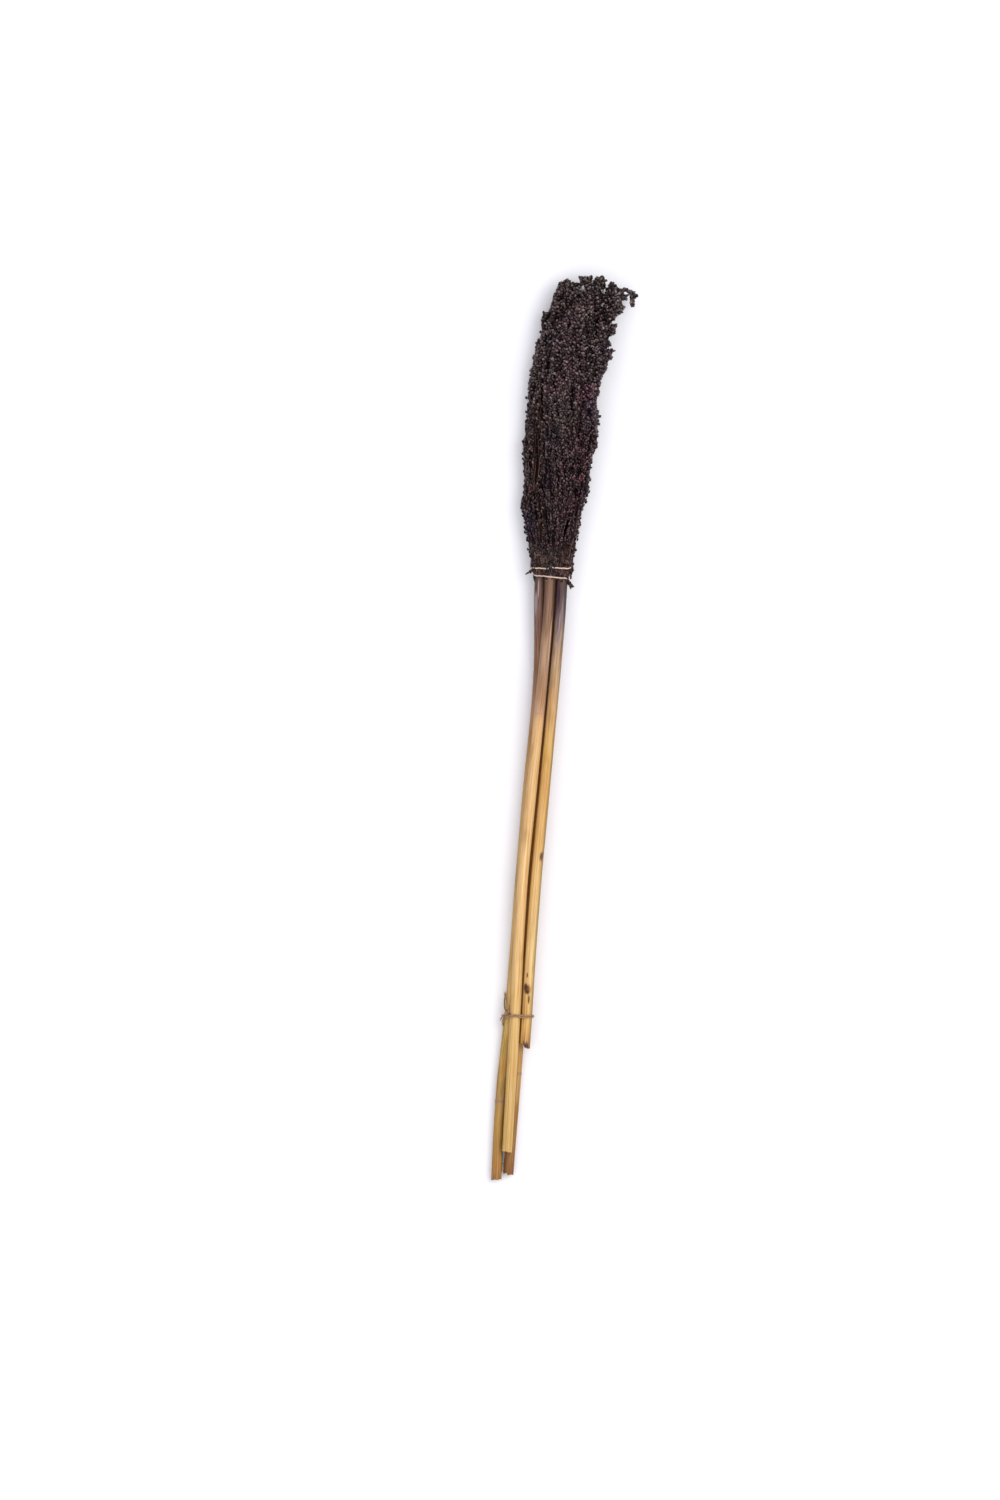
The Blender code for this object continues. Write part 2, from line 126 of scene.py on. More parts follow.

# %% [markdown]
# ## One way into a mesh
#
# All shapes here are arrays: points, and groups of faces that have the same number of corners.
# One function lays them into a mesh with foreach_set, gives the object its place (the origin, as
# the points already are where they belong), and says which body it rides on, which solid it
# stands for and which finish it takes. Nothing reaches below the table, z = 0.

# %% Arrays to a piece
def new_mesh(name, points, groups, attributes=()):
    """A mesh of points (n, 3) and of face groups, each an array (faces, corners)."""
    mesh = bpy.data.meshes.new(name)
    mesh.vertices.add(len(points))
    mesh.vertices.foreach_set("co", np.asarray(points, np.float32).ravel())
    corners = np.concatenate([np.asarray(group).ravel() for group in groups])
    sizes = np.concatenate([np.full(len(group), group.shape[1]) for group in groups])
    mesh.loops.add(len(corners))
    mesh.loops.foreach_set("vertex_index", corners.astype(np.int32))
    mesh.polygons.add(len(sizes))
    mesh.polygons.foreach_set("loop_start", (np.cumsum(sizes) - sizes).astype(np.int32))
    mesh.update(calc_edges=True)
    for key, values in dict(attributes).items():
        kind = "FLOAT_VECTOR" if values.ndim == 2 else "FLOAT"
        field = "vector" if values.ndim == 2 else "value"
        made = mesh.attributes.new(key, kind, "POINT")
        made.data.foreach_set(field, np.asarray(values, np.float32).ravel())
    return mesh


def new_piece(name, shape, finish, stands_for=()):
    """A shaded piece that rides on the one body: shape is (points, groups, attributes)."""
    points, groups, attributes = shape
    points[:, 2] = np.maximum(points[:, 2], 0)
    mesh = new_mesh(name, points, groups, attributes)
    mesh.materials.append(finish)
    mesh.shade_smooth()
    obj = bpy.data.objects.new(name, mesh)
    bpy.context.scene.collection.objects.link(obj)
    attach(obj, "root")
    if stands_for:
        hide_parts(*stands_for)
    mesh.calc_loop_triangles()
    print(f"{name}: {len(mesh.loop_triangles)} triangles")
    return obj


def merged(*shapes):
    """Several shapes as one: their points in a row, and their faces counted on."""
    points, groups, attributes, start = [], [], {}, 0
    for more, faces, values in shapes:
        points.append(more)
        groups += [group + start for group in faces]
        start += len(more)
        for key, array in values.items():
            attributes.setdefault(key, []).append(array)
    return np.concatenate(points), groups, {key: np.concatenate(v) for key, v in attributes.items()}


test = new_mesh("test", np.eye(3), [np.array([[0, 1, 2]])])
print("a test mesh:", len(test.vertices), "points,", len(test.polygons), "face")
bpy.data.meshes.remove(test)

# %% [markdown]
# ## Colour and nodes
#
# Colours are written as the sRGB hex values that an eye reads off a screen, and Blender's sockets
# want linear light, so one function turns them over. A material is then a list of nodes, each
# added in one call that takes its settings and what feeds it, and gives back the output to go on
# from. What feeds a node is a tuple in the order of its inputs, or a dictionary by their names or
# numbers. A Map Range takes a value, the range it comes from and the range it goes to. A Mix node
# takes its factor at 0 and two colours at 6 and 7, and gives their mix at 2. The finishes here
# are dry fibre, seed coat and board: none is a metal, and the default IOR of 1.5 suits them all.

# %% Hex to linear, and one node at a time
SMOOTH = {"interpolation_type": "SMOOTHSTEP"}
COLOUR = {"data_type": "RGBA"}
TIMES = {"data_type": "RGBA", "blend_type": "MULTIPLY"}


def linear(code):
    """The linear colour of an sRGB hex code: the standard curve, undone channel by channel."""
    channels = np.array([int(code[i : i + 2], 16) for i in (1, 3, 5)]) / 255
    low, high = channels / 12.92, ((channels + 0.055) / 1.055) ** 2.4
    return (*np.where(channels <= 0.04045, low, high).tolist(), 1.0)


def feed(tree, node, inputs):
    """Sets each input of a node to a value or a hex colour, or links another node's output to it."""
    pairs = inputs.items() if isinstance(inputs, dict) else enumerate(inputs)
    for key, value in pairs:
        if isinstance(value, bpy.types.NodeSocket):
            tree.links.new(value, node.inputs[key])
        else:
            node.inputs[key].default_value = linear(value) if isinstance(value, str) else value


def add(tree, kind, inputs=(), output=0, stops=(), **settings):
    """A new node's output. The stops of a colour ramp are (place from 0 to 1, hex colour)."""
    node = tree.nodes.new("ShaderNode" + kind)
    for key, value in settings.items():
        setattr(node, key, value)
    feed(tree, node, inputs)
    if stops:
        elements = node.color_ramp.elements
        while len(elements) < len(stops):
            elements.new(1.0)
        for element, (place, code) in zip(elements, stops):
            element.position = place
            element.color = linear(code)
    return node.outputs[output]


def laid(tree, below, above, pattern, low, high, most=1.0):
    """One colour laid over another where a pattern goes from low to high: the upper one's share
    rises in an S-curve from 0 to most."""
    share = add(tree, "MapRange", (pattern, low, high, 0.0, most), **SMOOTH)
    return add(tree, "Mix", {0: share, 6: below, 7: above}, 2, **COLOUR)


def new_finish(name, roughness, specular=0.5):
    """A material with its Principled surface: (material, tree, surface)."""
    made = bpy.data.materials.new(name)
    made.use_nodes = True
    surface = made.node_tree.nodes["Principled BSDF"]
    feed(made.node_tree, surface, {"Roughness": roughness, "Specular IOR Level": specular})
    return made, made.node_tree, surface


print("white:", linear("#ffffff"), "mid grey:", round(linear("#808080")[0], 3))

# %% [markdown]
# ## The straw canes
#
# A sorghum cane is a waxy rind about half a millimetre thick around a spongy pith. Its surface is
# drawn out lengthwise: fine ribs, long pale and brown streaks, and now and then a node, the ring
# where a leaf sat. A cylinder would do from afar, but its end would be a lid. So each cane is a
# profile carried along the line of its solid: from the middle of the pith out over the cut rind,
# then along the outside to the neck, where it closes inside the head.

# %% The line of each cane
CANE_SIDES = 44
RING_STEP = 2 * MM


def cane_line(node):
    """Middle and radius at each ring of a solid cane. Its points are grouped by their y, and a
    group's mean is the ring's middle."""
    points, _ = solid_of(node)
    stations, group = np.unique(np.round(points[:, 1], 5), return_inverse=True)
    count = np.bincount(group)
    middle = np.stack([np.bincount(group, points[:, i]) / count for i in (0, 2)], axis=1)
    radius = np.bincount(group, np.linalg.norm(points[:, [0, 2]] - middle[group], axis=1)) / count
    return stations, np.column_stack([middle, radius])


canes = {name: cane_line(f"cane_{name}") for name in NAMES}
for name, (stations, values) in canes.items():
    ends = f"{stations[0] / MM:.1f} to {stations[-1] / MM:.1f} mm"
    print(f"cane {name}: {ends}, radius {values[0, 2] / MM:.2f}")

# %% [markdown]
# A cane, a core and a seed are all the same to a mesh: rings of points, joined one to the next and
# closed at both ends. One function makes the faces for all three.

# %% Rings to a closed surface
def closed_grid(points, attributes):
    """The faces of rings (rings, sides, 3) joined round and along, and closed by a fan to a middle
    point at each end. The attributes get the first and last ring's mean at those two points."""
    rings, sides, _ = points.shape
    ring, side = np.meshgrid(np.arange(rings - 1), np.arange(sides), indexing="ij")
    after = (side + 1) % sides
    low, high = ring * sides, (ring + 1) * sides
    quads = np.stack([low + side, high + side, high + after, low + after], axis=-1).reshape(-1, 4)
    k = np.arange(sides)
    after = (k + 1) % sides
    first, last = rings * sides, rings * sides + 1
    top = (rings - 1) * sides
    fans = np.concatenate([
        np.stack([np.full(sides, first), k, after], axis=-1),
        np.stack([np.full(sides, last), top + after, top + k], axis=-1),
    ])
    flat = np.concatenate([points.reshape(-1, 3), points[:1].mean(axis=1), points[-1:].mean(axis=1)])
    filled = {}
    for key, values in attributes.items():
        ends = values[:sides].mean(axis=0), values[-sides:].mean(axis=0)
        filled[key] = np.concatenate([values, np.array(ends)])
    return flat, [quads, fans], filled


tube_test = closed_grid(np.zeros((3, 4, 3)), {})
print("three rings of four:", [len(group) for group in tube_test[1]], "faces")

# %% [markdown]
# The outside is a function of two parameters, the place along the cane and the angle round it. To
# the plain radius it adds ribs (a cosine of the angle that fades in and out along the cane), the
# swelling of a node, and a slow waver, because no stalk is quite round.

# %% The surface of a cane
RIBS = 17
RIB_HEIGHT = 0.035 * MM
WAVER = 0.09 * MM
NODE_HEIGHT = 0.28 * MM
NODE_WIDTH = 1.6 * MM
# The rings of a cut end, from the middle of the pith to the edge of the rind: the ring's share of
# the radius, its depth as a share of PITH_DEPTH, and how much of it is pith.
CUT_RINGS = np.array([(0.35, 1, 1), (0.7, 0.8, 1), (0.86, 0.5, 0.9), (0.89, 0, 0.5), (0.985, 0, 0.35)])
PITH_DEPTH = 0.7 * MM
CUT_EDGE = 0.3 * MM
# How far the teeth of the torn rind stand out, and the length over which the tear fades out.
JAG = 0.3 * MM
TORN, TORN_FADE = 6 * MM, 5 * MM
# Where a node shows on a cane, and how far its cut slants from side to side.
CANE_NODES = {"left": -520.4 * MM, "under": -497 * MM}
CUT_SLANT = {"left": 0.16, "top": -0.07, "under": 0.1, "right": -0.05}
# A shred of rind left standing at the cut, on the right side.
SHRED = {"right": 2.7 * MM, "under": 1.2 * MM}


def cane_shape(name):
    """Rings of points from the pith's middle over the cut and along the cane, closed at both ends.
    Radius = plain radius + ribs + waver + node; the cut's rings are shares of the radius."""
    stations, values = canes[name]
    start, end = stations[0], stations[-1]
    phase = rng.uniform(0, 2 * math.pi, 6)
    outer = np.linspace(start + CUT_EDGE, end, round((end - start) / RING_STEP))
    share = np.r_[CUT_RINGS[:, 0], np.ones(len(outer))]
    y = np.r_[start + PITH_DEPTH * CUT_RINGS[:, 1], outer]
    cut = np.repeat(np.r_[CUT_RINGS[:, 2], np.zeros(len(outer))], CANE_SIDES)
    a = circle(CANE_SIDES)
    x, z, radius = smooth(stations, values, y).T[..., None]
    along = (y[:, None] - start) / MM
    ribs = RIB_HEIGHT * np.cos(RIBS * a + phase[0]) * (0.6 + 0.4 * np.sin(along / 31 + 3 * a + phase[1]))
    waver = WAVER * np.sin(2 * a + along / 90 + phase[2]) * np.sin(along / 47 + phase[3])
    node = 0
    if name in CANE_NODES:
        from_node = (y[:, None] - CANE_NODES[name]) / NODE_WIDTH
        node = NODE_HEIGHT * (np.exp(-(from_node**2)) - 0.6 * np.exp(-((from_node - 1.2) ** 2) * 4))
    reach = share[:, None] * (radius + ribs + waver + node)
    edge = ramp(share[:, None], 0.8, 0.9) * ramp(start + TORN - y[:, None], 0, TORN_FADE)
    ragged = JAG * (np.sin(5 * a + phase[4]) + 0.6 * np.sin(13 * a + phase[5]))
    shred = SHRED.get(name, 0) * ramp(np.cos(a), -0.4, -0.15) * (1 + 0.25 * np.sin(9 * a))
    shift = edge * (ragged + CUT_SLANT[name] * radius * np.cos(a) - shred)
    points = np.stack([x + reach * np.cos(a), y[:, None] + shift, z + reach * np.sin(a)], axis=-1)
    grain = np.stack([radius * np.cos(a), radius * np.sin(a), y[:, None] + 0 * a], axis=-1)
    return closed_grid(points, {"cut": cut, "grain": grain.reshape(-1, 3)})


shape = cane_shape("top")
print("one cane:", len(shape[0]), "points")

# %% [markdown]
# ## The finish of the canes
#
# Dry straw has a thin natural wax, so it is satin, not dull: roughness about 0.4. Its colour runs
# in streaks along the fibres, which is a noise squeezed across the cane and stretched along it.
# The streaks must follow the bends, so they are read from the piece's own grain attribute, which
# holds the unrolled place on the rind. A pattern's size is given in millimetres, and its scale is
# one over that: a streak is half a millimetre wide and 45 mm long. The colour of the straw itself
# changes along each cane, and one side of each cane is darker as painted shade.

# %% The colours of straw
# Sizes in mm, across the cane twice and then along it. Real fibres are about a tenth of a
# millimetre across: the first two patterns are drawn coarser, so that they show.
STREAKS = (0.55, 0.55, 45)
FIBRES = (0.22, 0.22, 24)
BLOTCHES = (11.111, 11.111, 41.667)
STREAKED, FIBROUS, BLOTCHED = "#dfc69c", "#fff0d0", "#d4cbac"
# How far the streaks shift the colour along the cane.
WANDER = 6 * MM
# The colour along each cane, as (y in mm, hex): the cut end first, the neck last.
CANE_COLOURS = {
    "left": [
        (-583, "#8a5f2c"), (-578, "#a57736"), (-545, "#b0883e"), (-526, "#b48e44"), (-519, "#b08954"),
        (-505, "#bc9c54"), (-480, "#c8ac60"), (-449, "#d8b670"), (-407, "#d0ae72"), (-330, "#ceaa6e"),
        (-262, "#c49e66"), (-225, "#b68d62"), (-203, "#aa8160"), (-186, "#946c52"), (-150, "#875f48"),
        (-118, "#6e5450"), (-96, "#4f382f"),
    ],
    "top": [
        (-560, "#cfae6c"), (-519, "#cdab6a"), (-480, "#d6b270"), (-449, "#dcb876"), (-390, "#e0ba80"),
        (-300, "#e0ba82"), (-226, "#d8b27c"), (-212, "#d3a97a"), (-207, "#b89274"), (-190, "#b49074"),
        (-172, "#a9866c"), (-158, "#a6846a"), (-150, "#a28065"), (-142, "#8b6a52"), (-128, "#83654c"),
        (-118, "#866751"), (-107, "#806050"), (-96, "#6c4f40"),
    ],
    # The under cane lies beneath the others, and its colours are darker partly as painted shade.
    "under": [
        (-577, "#7a4b1a"), (-568, "#8c5e26"), (-545, "#b08846"), (-500, "#ba9456"), (-449, "#ac8034"),
        (-260, "#946420"), (-214, "#845820"), (-150, "#5c3a1c"), (-100, "#3a241c"),
    ],
    "right": [
        (-473, "#b98a4e"), (-464, "#d8b068"), (-449, "#d8b26e"), (-400, "#e3c287"), (-345, "#dcb878"),
        (-300, "#d5ab67"), (-262, "#d6ab69"), (-250, "#d8b068"), (-236, "#d4b068"), (-224, "#d2ac6c"),
        (-202, "#d2ae80"), (-184, "#c9aa86"), (-165, "#c4a88c"), (-156, "#bda18a"), (-149, "#aa9184"),
        (-142, "#a48e86"), (-135, "#947e7b"), (-128, "#78656e"), (-121, "#66525e"), (-114, "#5a4552"),
        (-107, "#56424c"), (-96, "#5e443e"),
    ],
}
# Painted shade on one side: a colour that multiplies, then the side, towards +x or -x, times how much.
SIDE_SHADE = "#b0ae92"
SHADED_SIDES = {"left": -0.4, "top": -0.35, "under": 0.3, "right": 1.0}

print("straw:", {name: len(stops) for name, stops in CANE_COLOURS.items()}, "colours along the canes")

# %% [markdown]
# The straw is built up in layers, as a painter glazes: the cane's own colour, darker in the
# streaks, paler along the fibres, olive in blotches, and darker on one side as painted shade. What
# share each layer has comes from a noise, or from the place on the rind, through an S-curve.

# %% Waxy straw, layer by layer
def noise_on(tree, vector, size, offset=(0, 0, 0), detail=2.0):
    """Noise whose grains measure size mm along x, y and z, as the vector is scaled by one over it."""
    scale = [1 / (each * MM) for each in size]
    scaled = add(tree, "Mapping", {"Vector": vector, "Scale": scale, "Location": offset})
    return add(tree, "TexNoise", {"Vector": scaled, "Scale": 1.0, "Detail": detail}, "Fac")


def straw_colour(tree, name, grain, streaks, fibres, moved, offset):
    """The cane's own colour along it, with darker streaks, paler fibres, blotches and painted shade on one
    side.
    """
    low, *_, high = [y * MM for y, _ in CANE_COLOURS[name]]
    stops = [((y * MM - low) / (high - low), code) for y, code in CANE_COLOURS[name]]
    base = add(tree, "ValToRGB", (add(tree, "MapRange", (moved, low, high)),), stops=stops)
    darker = add(tree, "Mix", {0: 1.0, 6: base, 7: STREAKED}, 2, **TIMES)
    paler = add(tree, "Mix", {0: 0.15, 6: base, 7: FIBROUS}, 2, **COLOUR)
    colour = laid(tree, darker, base, streaks, 0.34, 0.62)
    colour = laid(tree, colour, paler, fibres, 0.5, 0.72, 0.8)
    olive = add(tree, "Mix", {0: 1.0, 6: colour, 7: BLOTCHED}, 2, **TIMES)
    colour = laid(tree, colour, olive, noise_on(tree, grain, BLOTCHES, offset), 0.52, 0.7, 0.7)
    # Painted shade: one side of each cane is multiplied darker.
    dull = add(tree, "Mix", {0: 1.0, 6: colour, 7: SIDE_SHADE}, 2, **TIMES)
    across = add(tree, "SeparateXYZ", (grain,), "X")
    way = math.copysign(MM, SHADED_SIDES[name])
    return laid(tree, colour, dull, across, 1.5 * way, 4.2 * way, abs(SHADED_SIDES[name]))


print("a streak's scale, across and along:", [round(1 / (size * MM)) for size in STREAKS[1:]])

# %% [markdown]
# The dye of the heads has run down the canes from the neck. Most of that is in the colours along
# the canes. What is left are fine runs, drawn out along the fibres, and the darker seams between
# the canes near the neck, which are dye that stood there and painted shade between the canes.

# %% Stained by the dye, with painted shade in the seams
DYE = "#3b262a"
DYE_RUNS = (1.0, 1.0, 22)
# The runs begin at the first height and are full at the second, this strong on each cane.
RUNS_FROM, RUNS_TO = -210 * MM, -130 * MM
RUNS_SHOW = {"left": 0.6, "top": 0.3, "under": 0.5, "right": 0.55}
# The seam, dye with painted shade, lies towards +x, -x or (0) both, and has a colour and a strength.
SEAM_SHADES = {"left": (1, "#7a5240", 0.5), "top": (0, "#5c3c2a", 0.9), "right": (-1, "#5c4044", 0.5)}
SEAM_FROM, SEAM_TO = -150 * MM, -112 * MM


def dyed(tree, name, grain, colour, moved, offset):
    """The straw's colour with the dye's runs, and with its seams of dye and painted shade near the neck."""
    across, place = (add(tree, "SeparateXYZ", (grain,), axis) for axis in "XZ")
    runs = noise_on(tree, grain, DYE_RUNS, offset, 3.0)
    runs = add(tree, "MapRange", (runs, 0.48, 0.62, 0.0, RUNS_SHOW[name]), **SMOOTH)
    high_up = add(tree, "MapRange", (place, RUNS_FROM, RUNS_TO), **SMOOTH)
    runs = add(tree, "Math", (runs, high_up), operation="MULTIPLY")
    colour = add(tree, "Mix", {0: runs, 6: colour, 7: DYE}, 2, **COLOUR)
    if name not in SEAM_SHADES:
        return colour
    # The seam darkens the sides where the canes meet near the neck: dye, and painted shade between the canes.
    way, seam_shade_colour, strength = SEAM_SHADES[name]
    if way:
        side = add(tree, "MapRange", (across, -0.5 * MM * way, 3.2 * MM * way), **SMOOTH)
    else:
        aside = add(tree, "Math", (across,), operation="ABSOLUTE")
        side = add(tree, "MapRange", (aside, 1.6 * MM, 3.4 * MM), **SMOOTH)
    near_neck = add(tree, "MapRange", (moved, SEAM_FROM, SEAM_TO, 0.0, strength), **SMOOTH)
    seam = add(tree, "Math", (side, near_neck), operation="MULTIPLY")
    return add(tree, "Mix", {0: seam, 6: colour, 7: seam_shade_colour}, 2, **COLOUR)


print("dye runs from", round(RUNS_FROM / MM), "mm; seams on", ", ".join(SEAM_SHADES))

# %% [markdown]
# Last come the marks that make each cane its own: bruises, old wounds and scars of leaf stubs,
# pale streaks that are painted highlights, and a painted shadow under the foot's knot. Each is a
# spot with a ragged edge, placed on the unrolled rind.

# %% Marks, painted highlights and a painted shadow
# Marks on the upper side, painted highlights and a painted shadow among them: x, y, half width, half length
# in mm, and colour.
MARKS_AND_PAINTED_LIGHT = {
    "left": [
        (-4.6, -492, 0.7, 11, "#b8702e"), (-8.5, -536, 0.8, 16, "#9c6a2c"),
        # The spot at (-4.9, -446.8) is the painted shadow inside the foot's knot; (-10.8, -121) is a painted
        # highlight.
        (-4.9, -446.8, 0.9, 1.5, "#4a3010"), (-10.8, -121, 1.6, 9, "#8e7c7a"),
        # The streak at (-9.6, -109) is a painted highlight.
        (-11.8, -106, 0.7, 5, "#3e2a2a"), (-9.6, -109, 0.6, 8, "#9a857c"),
    ],
    "top": [
        # The long pale streak at (-1.5, -330) is a painted highlight.
        (3.2, -152, 0.7, 22, "#c9a88c"), (-1.5, -330, 0.5, 30, "#ebc78f"),
        (-0.4, -208.6, 3.0, 0.7, "#a8866c"),
    ],
    "under": [
        (0.5, -569, 1.4, 5, "#6e4420"),
    ],
    "right": [
        (8.8, -429.2, 3.3, 4.4, "#8f5c28"), (8.0, -427.6, 2.5, 3.0, "#482608"),
        (9.4, -431.2, 1.8, 2.2, "#482608"), (8.4, -417.9, 0.6, 2.0, "#5a3517"),
        (11.3, -437.4, 0.7, 4.2, "#553c06"), (11.4, -322.4, 1.7, 4.2, "#64422c"),
        # The pale streak at (11.0, -129) is a painted highlight.
        (11.0, -129, 1.0, 10, "#75656a"), (7.2, -113, 0.9, 9, "#33202c"),
        # The pale streak at (9.6, -136) is a painted highlight.
        (9.6, -136, 0.6, 9, "#8c7a80"), (12.2, -472.0, 3.0, 2.6, "#4c2c2c"),
    ],
}


def spot_on(tree, vector, rough, centre, half):
    """How far a place is inside a spot, from 0 to 1: its distance from the centre, counted in half
    sizes, with a ragged edge."""
    away = add(tree, "VectorMath", (vector, centre), operation="SUBTRACT")
    scale = [1 / size if size else 0 for size in half]
    away = add(tree, "VectorMath", (away, scale), operation="MULTIPLY")
    away = add(tree, "VectorMath", (away,), "Value", operation="LENGTH")
    ragged = add(tree, "MapRange", (rough, 0.3, 0.7, -0.3, 0.3), **SMOOTH)
    away = add(tree, "Math", (away, ragged), operation="ADD")
    return add(tree, "MapRange", (away, 0.6, 1.2, 1.0, 0.0), **SMOOTH)


def mark_on(tree, grain, rough, name, mark):
    """A mark's spot on the unrolled rind, at the height that the cane's radius gives."""
    x, y, width, length, _ = mark
    middle, _, radius = smooth(*canes[name], y * MM)
    across = float(np.clip(x * MM - middle, -0.97 * radius, 0.97 * radius))
    centre = (across, math.sqrt(radius**2 - across**2), y * MM)
    return spot_on(tree, grain, rough, centre, (width * MM, width * MM, length * MM))


print("marks:", {name: len(marks) for name, marks in MARKS_AND_PAINTED_LIGHT.items()})

# %% [markdown]
# Everything goes into one finish for each cane, as each has its own colours. The noises are moved
# by an offset, so that no two canes have the same streaks. Each stem stands for its plain solid.

# %% The stems
PITH = "#d8c49a"
NODE_TONE = "#8f6a5c"


def straw_finish(name, offset):
    """Straw for one cane, dyed and marked, with painted shade and painted highlights: satin, with fine fibres
    and the pith where it is cut.
    """
    made, tree, surface = new_finish(f"waxy_straw_{name}", 0.42, 0.3)
    grain = add(tree, "Attribute", (), "Vector", attribute_name="grain")
    streaks = noise_on(tree, grain, STREAKS, offset, 3.0)
    fibres = noise_on(tree, grain, FIBRES, offset)
    place = add(tree, "SeparateXYZ", (grain,), "Z")
    wander = add(tree, "MapRange", (streaks, 0.25, 0.75, -WANDER, WANDER), **SMOOTH)
    moved = add(tree, "Math", (place, wander), operation="ADD")
    colour = straw_colour(tree, name, grain, streaks, fibres, moved, offset)
    colour = dyed(tree, name, grain, colour, moved, offset)
    for mark in MARKS_AND_PAINTED_LIGHT[name]:
        spot = mark_on(tree, grain, fibres, name, mark)
        colour = add(tree, "Mix", {0: spot, 6: colour, 7: mark[-1]}, 2, **COLOUR)
    if name in CANE_NODES:
        ring = add(tree, "Math", (place, CANE_NODES[name]), operation="SUBTRACT")
        ring = add(tree, "Math", (ring,), operation="ABSOLUTE")
        colour = laid(tree, colour, NODE_TONE, ring, 1.8 * MM, 0.3 * MM, 0.6)
    cut = add(tree, "Attribute", (), "Fac", attribute_name="cut")
    colour = laid(tree, colour, PITH, cut, 0.3, 0.85)
    gloss = add(tree, "MapRange", (fibres, 0.3, 0.7, 0.36, 0.52), **SMOOTH)
    bump = add(tree, "Bump", {"Height": fibres, "Distance": 0.05 * MM, "Strength": 0.6})
    feed(tree, surface, {"Base Color": colour, "Roughness": gloss, "Normal": bump})
    return made


for k, name in enumerate(NAMES):
    shape = cane_shape(name)
    finish = straw_finish(name, (3.1 * k, 1.7 * k, 0.9 * k))
    new_piece(f"stem_{name}", shape, finish, [f"cane_{name}"])

# %% [markdown]
# ## Measuring the heads
#
# A head is a dense cluster, and its plain solid gives the space it may fill. Rays cast from the
# middle line outwards say how far the solid's wall is, on a grid of places along the head and
# angles round it. The grid is then softened, so that the solid's own relief isn't copied.

# %% The reach of each head
HEAD_STEP = 3 * MM
STATIONS = np.arange(-94.4 * MM, 141.6 * MM, HEAD_STEP)
ANGLES = 48
WINDOW = 4 * MM
SOFTENING = 2
# A ray that goes this many times as far as the others of its station has left through a crack.
CRACK = 1.6
ROUND = circle(ANGLES)
OUTWARD = np.stack([np.cos(ROUND), np.sin(ROUND)], axis=-1)


def clear_way(solids, x, y, z, angle):
    """How far a ray from a point goes before it meets one of the solids, or infinity."""
    start, way = Vector((x, y, z)), Vector((math.cos(angle), 0, math.sin(angle)))
    met = [tree.ray_cast(start, way)[3] for tree in solids]
    return min([far for far in met if far is not None], default=math.inf)


def walls(tree, middle):
    """The distance from the middle line to the solid's wall, for each station and angle. A ray
    that leaves through a crack, or runs along a spray, gets the station's usual distance."""
    rows = zip(STATIONS, middle)
    out = np.array([[clear_way([tree], x, y, z, a) for a in ROUND] for y, (x, z) in rows])
    typical = np.nanmedian(np.where(np.isinf(out), np.nan, out), axis=1, keepdims=True)
    return np.where(out > CRACK * typical, typical, out)


def measure_head(name):
    """Middle line and reach of a head, for as many stations as it has. The middle starts as the
    median of the points near each station, and is moved twice to the middle of the walls."""
    points, tree = solid_of(f"head_{name}")
    middle = []
    for y in STATIONS[STATIONS < points[:, 1].max() - HEAD_STEP]:
        near = points[np.abs(points[:, 1] - y) < WINDOW]
        middle.append(np.median(near[:, [0, 2]], axis=0))
    middle = np.array(middle)
    for _ in range(2):
        middle = middle + (walls(tree, middle)[..., None] * OUTWARD).mean(axis=1)
        middle[1:-1] = (middle[:-2] + 2 * middle[1:-1] + middle[2:]) / 4
    return middle, soften(walls(tree, middle))


def soften(reach):
    """The grid with each value averaged with its neighbours, round the head and along it."""
    for _ in range(SOFTENING):
        reach = (np.roll(reach, 1, axis=1) + 2 * reach + np.roll(reach, -1, axis=1)) / 4
        reach[1:-1] = (reach[:-2] + 2 * reach[1:-1] + reach[2:]) / 4
    return reach


heads = {name: measure_head(name) for name in NAMES}
for name, (middle, reach) in heads.items():
    print(f"head {name}: {len(middle)} stations, reach {reach.min() / MM:.1f} to {reach.max() / MM:.1f}")

# %% [markdown]
# ## The outline
#
# A bundle is known by its outline, and a solid made of plain forms has it only roughly. So the
# outline of the heads, seen from above, is a list of points: up the left side from the neck, over
# the lobes of the crown, round the spray that arches over to the right, and down the right side.
# Three things use it below. The heads' reach is let out or taken in to meet it at both sides,
# branches are kept inside it, and a seed that would stick out is pushed in, or left out if it is
# far outside. Clear spots are the small holes that show white between the lobes.

# %% The outline and the clear spots
# Points (x, y) in mm.
OUTLINE_LEFT = [
    (-17.5, -93), (-18, -90), (-17.5, -85), (-20, -78), (-22, -69), (-24, -65), (-24, -62),
    (-26.5, -53), (-28.5, -48), (-29, -42), (-27.3, -34), (-28.4, -27), (-28.1, -22), (-30, -15),
    (-30.2, -8), (-31.5, -1), (-32, 8), (-30, 17), (-31.7, 24), (-30.8, 27), (-31.8, 33), (-30.2, 39.6),
    (-32, 43.5), (-30.3, 45.5), (-31.3, 50), (-31.4, 56), (-30.8, 61), (-31.7, 65.6), (-28.6, 66.6),
    (-29.2, 72), (-29.9, 75), (-28.6, 77), (-28, 84), (-28.4, 87), (-27.2, 90), (-25.3, 91),
    (-24.8, 97), (-26, 103), (-26, 107), (-25.6, 112.8),
]
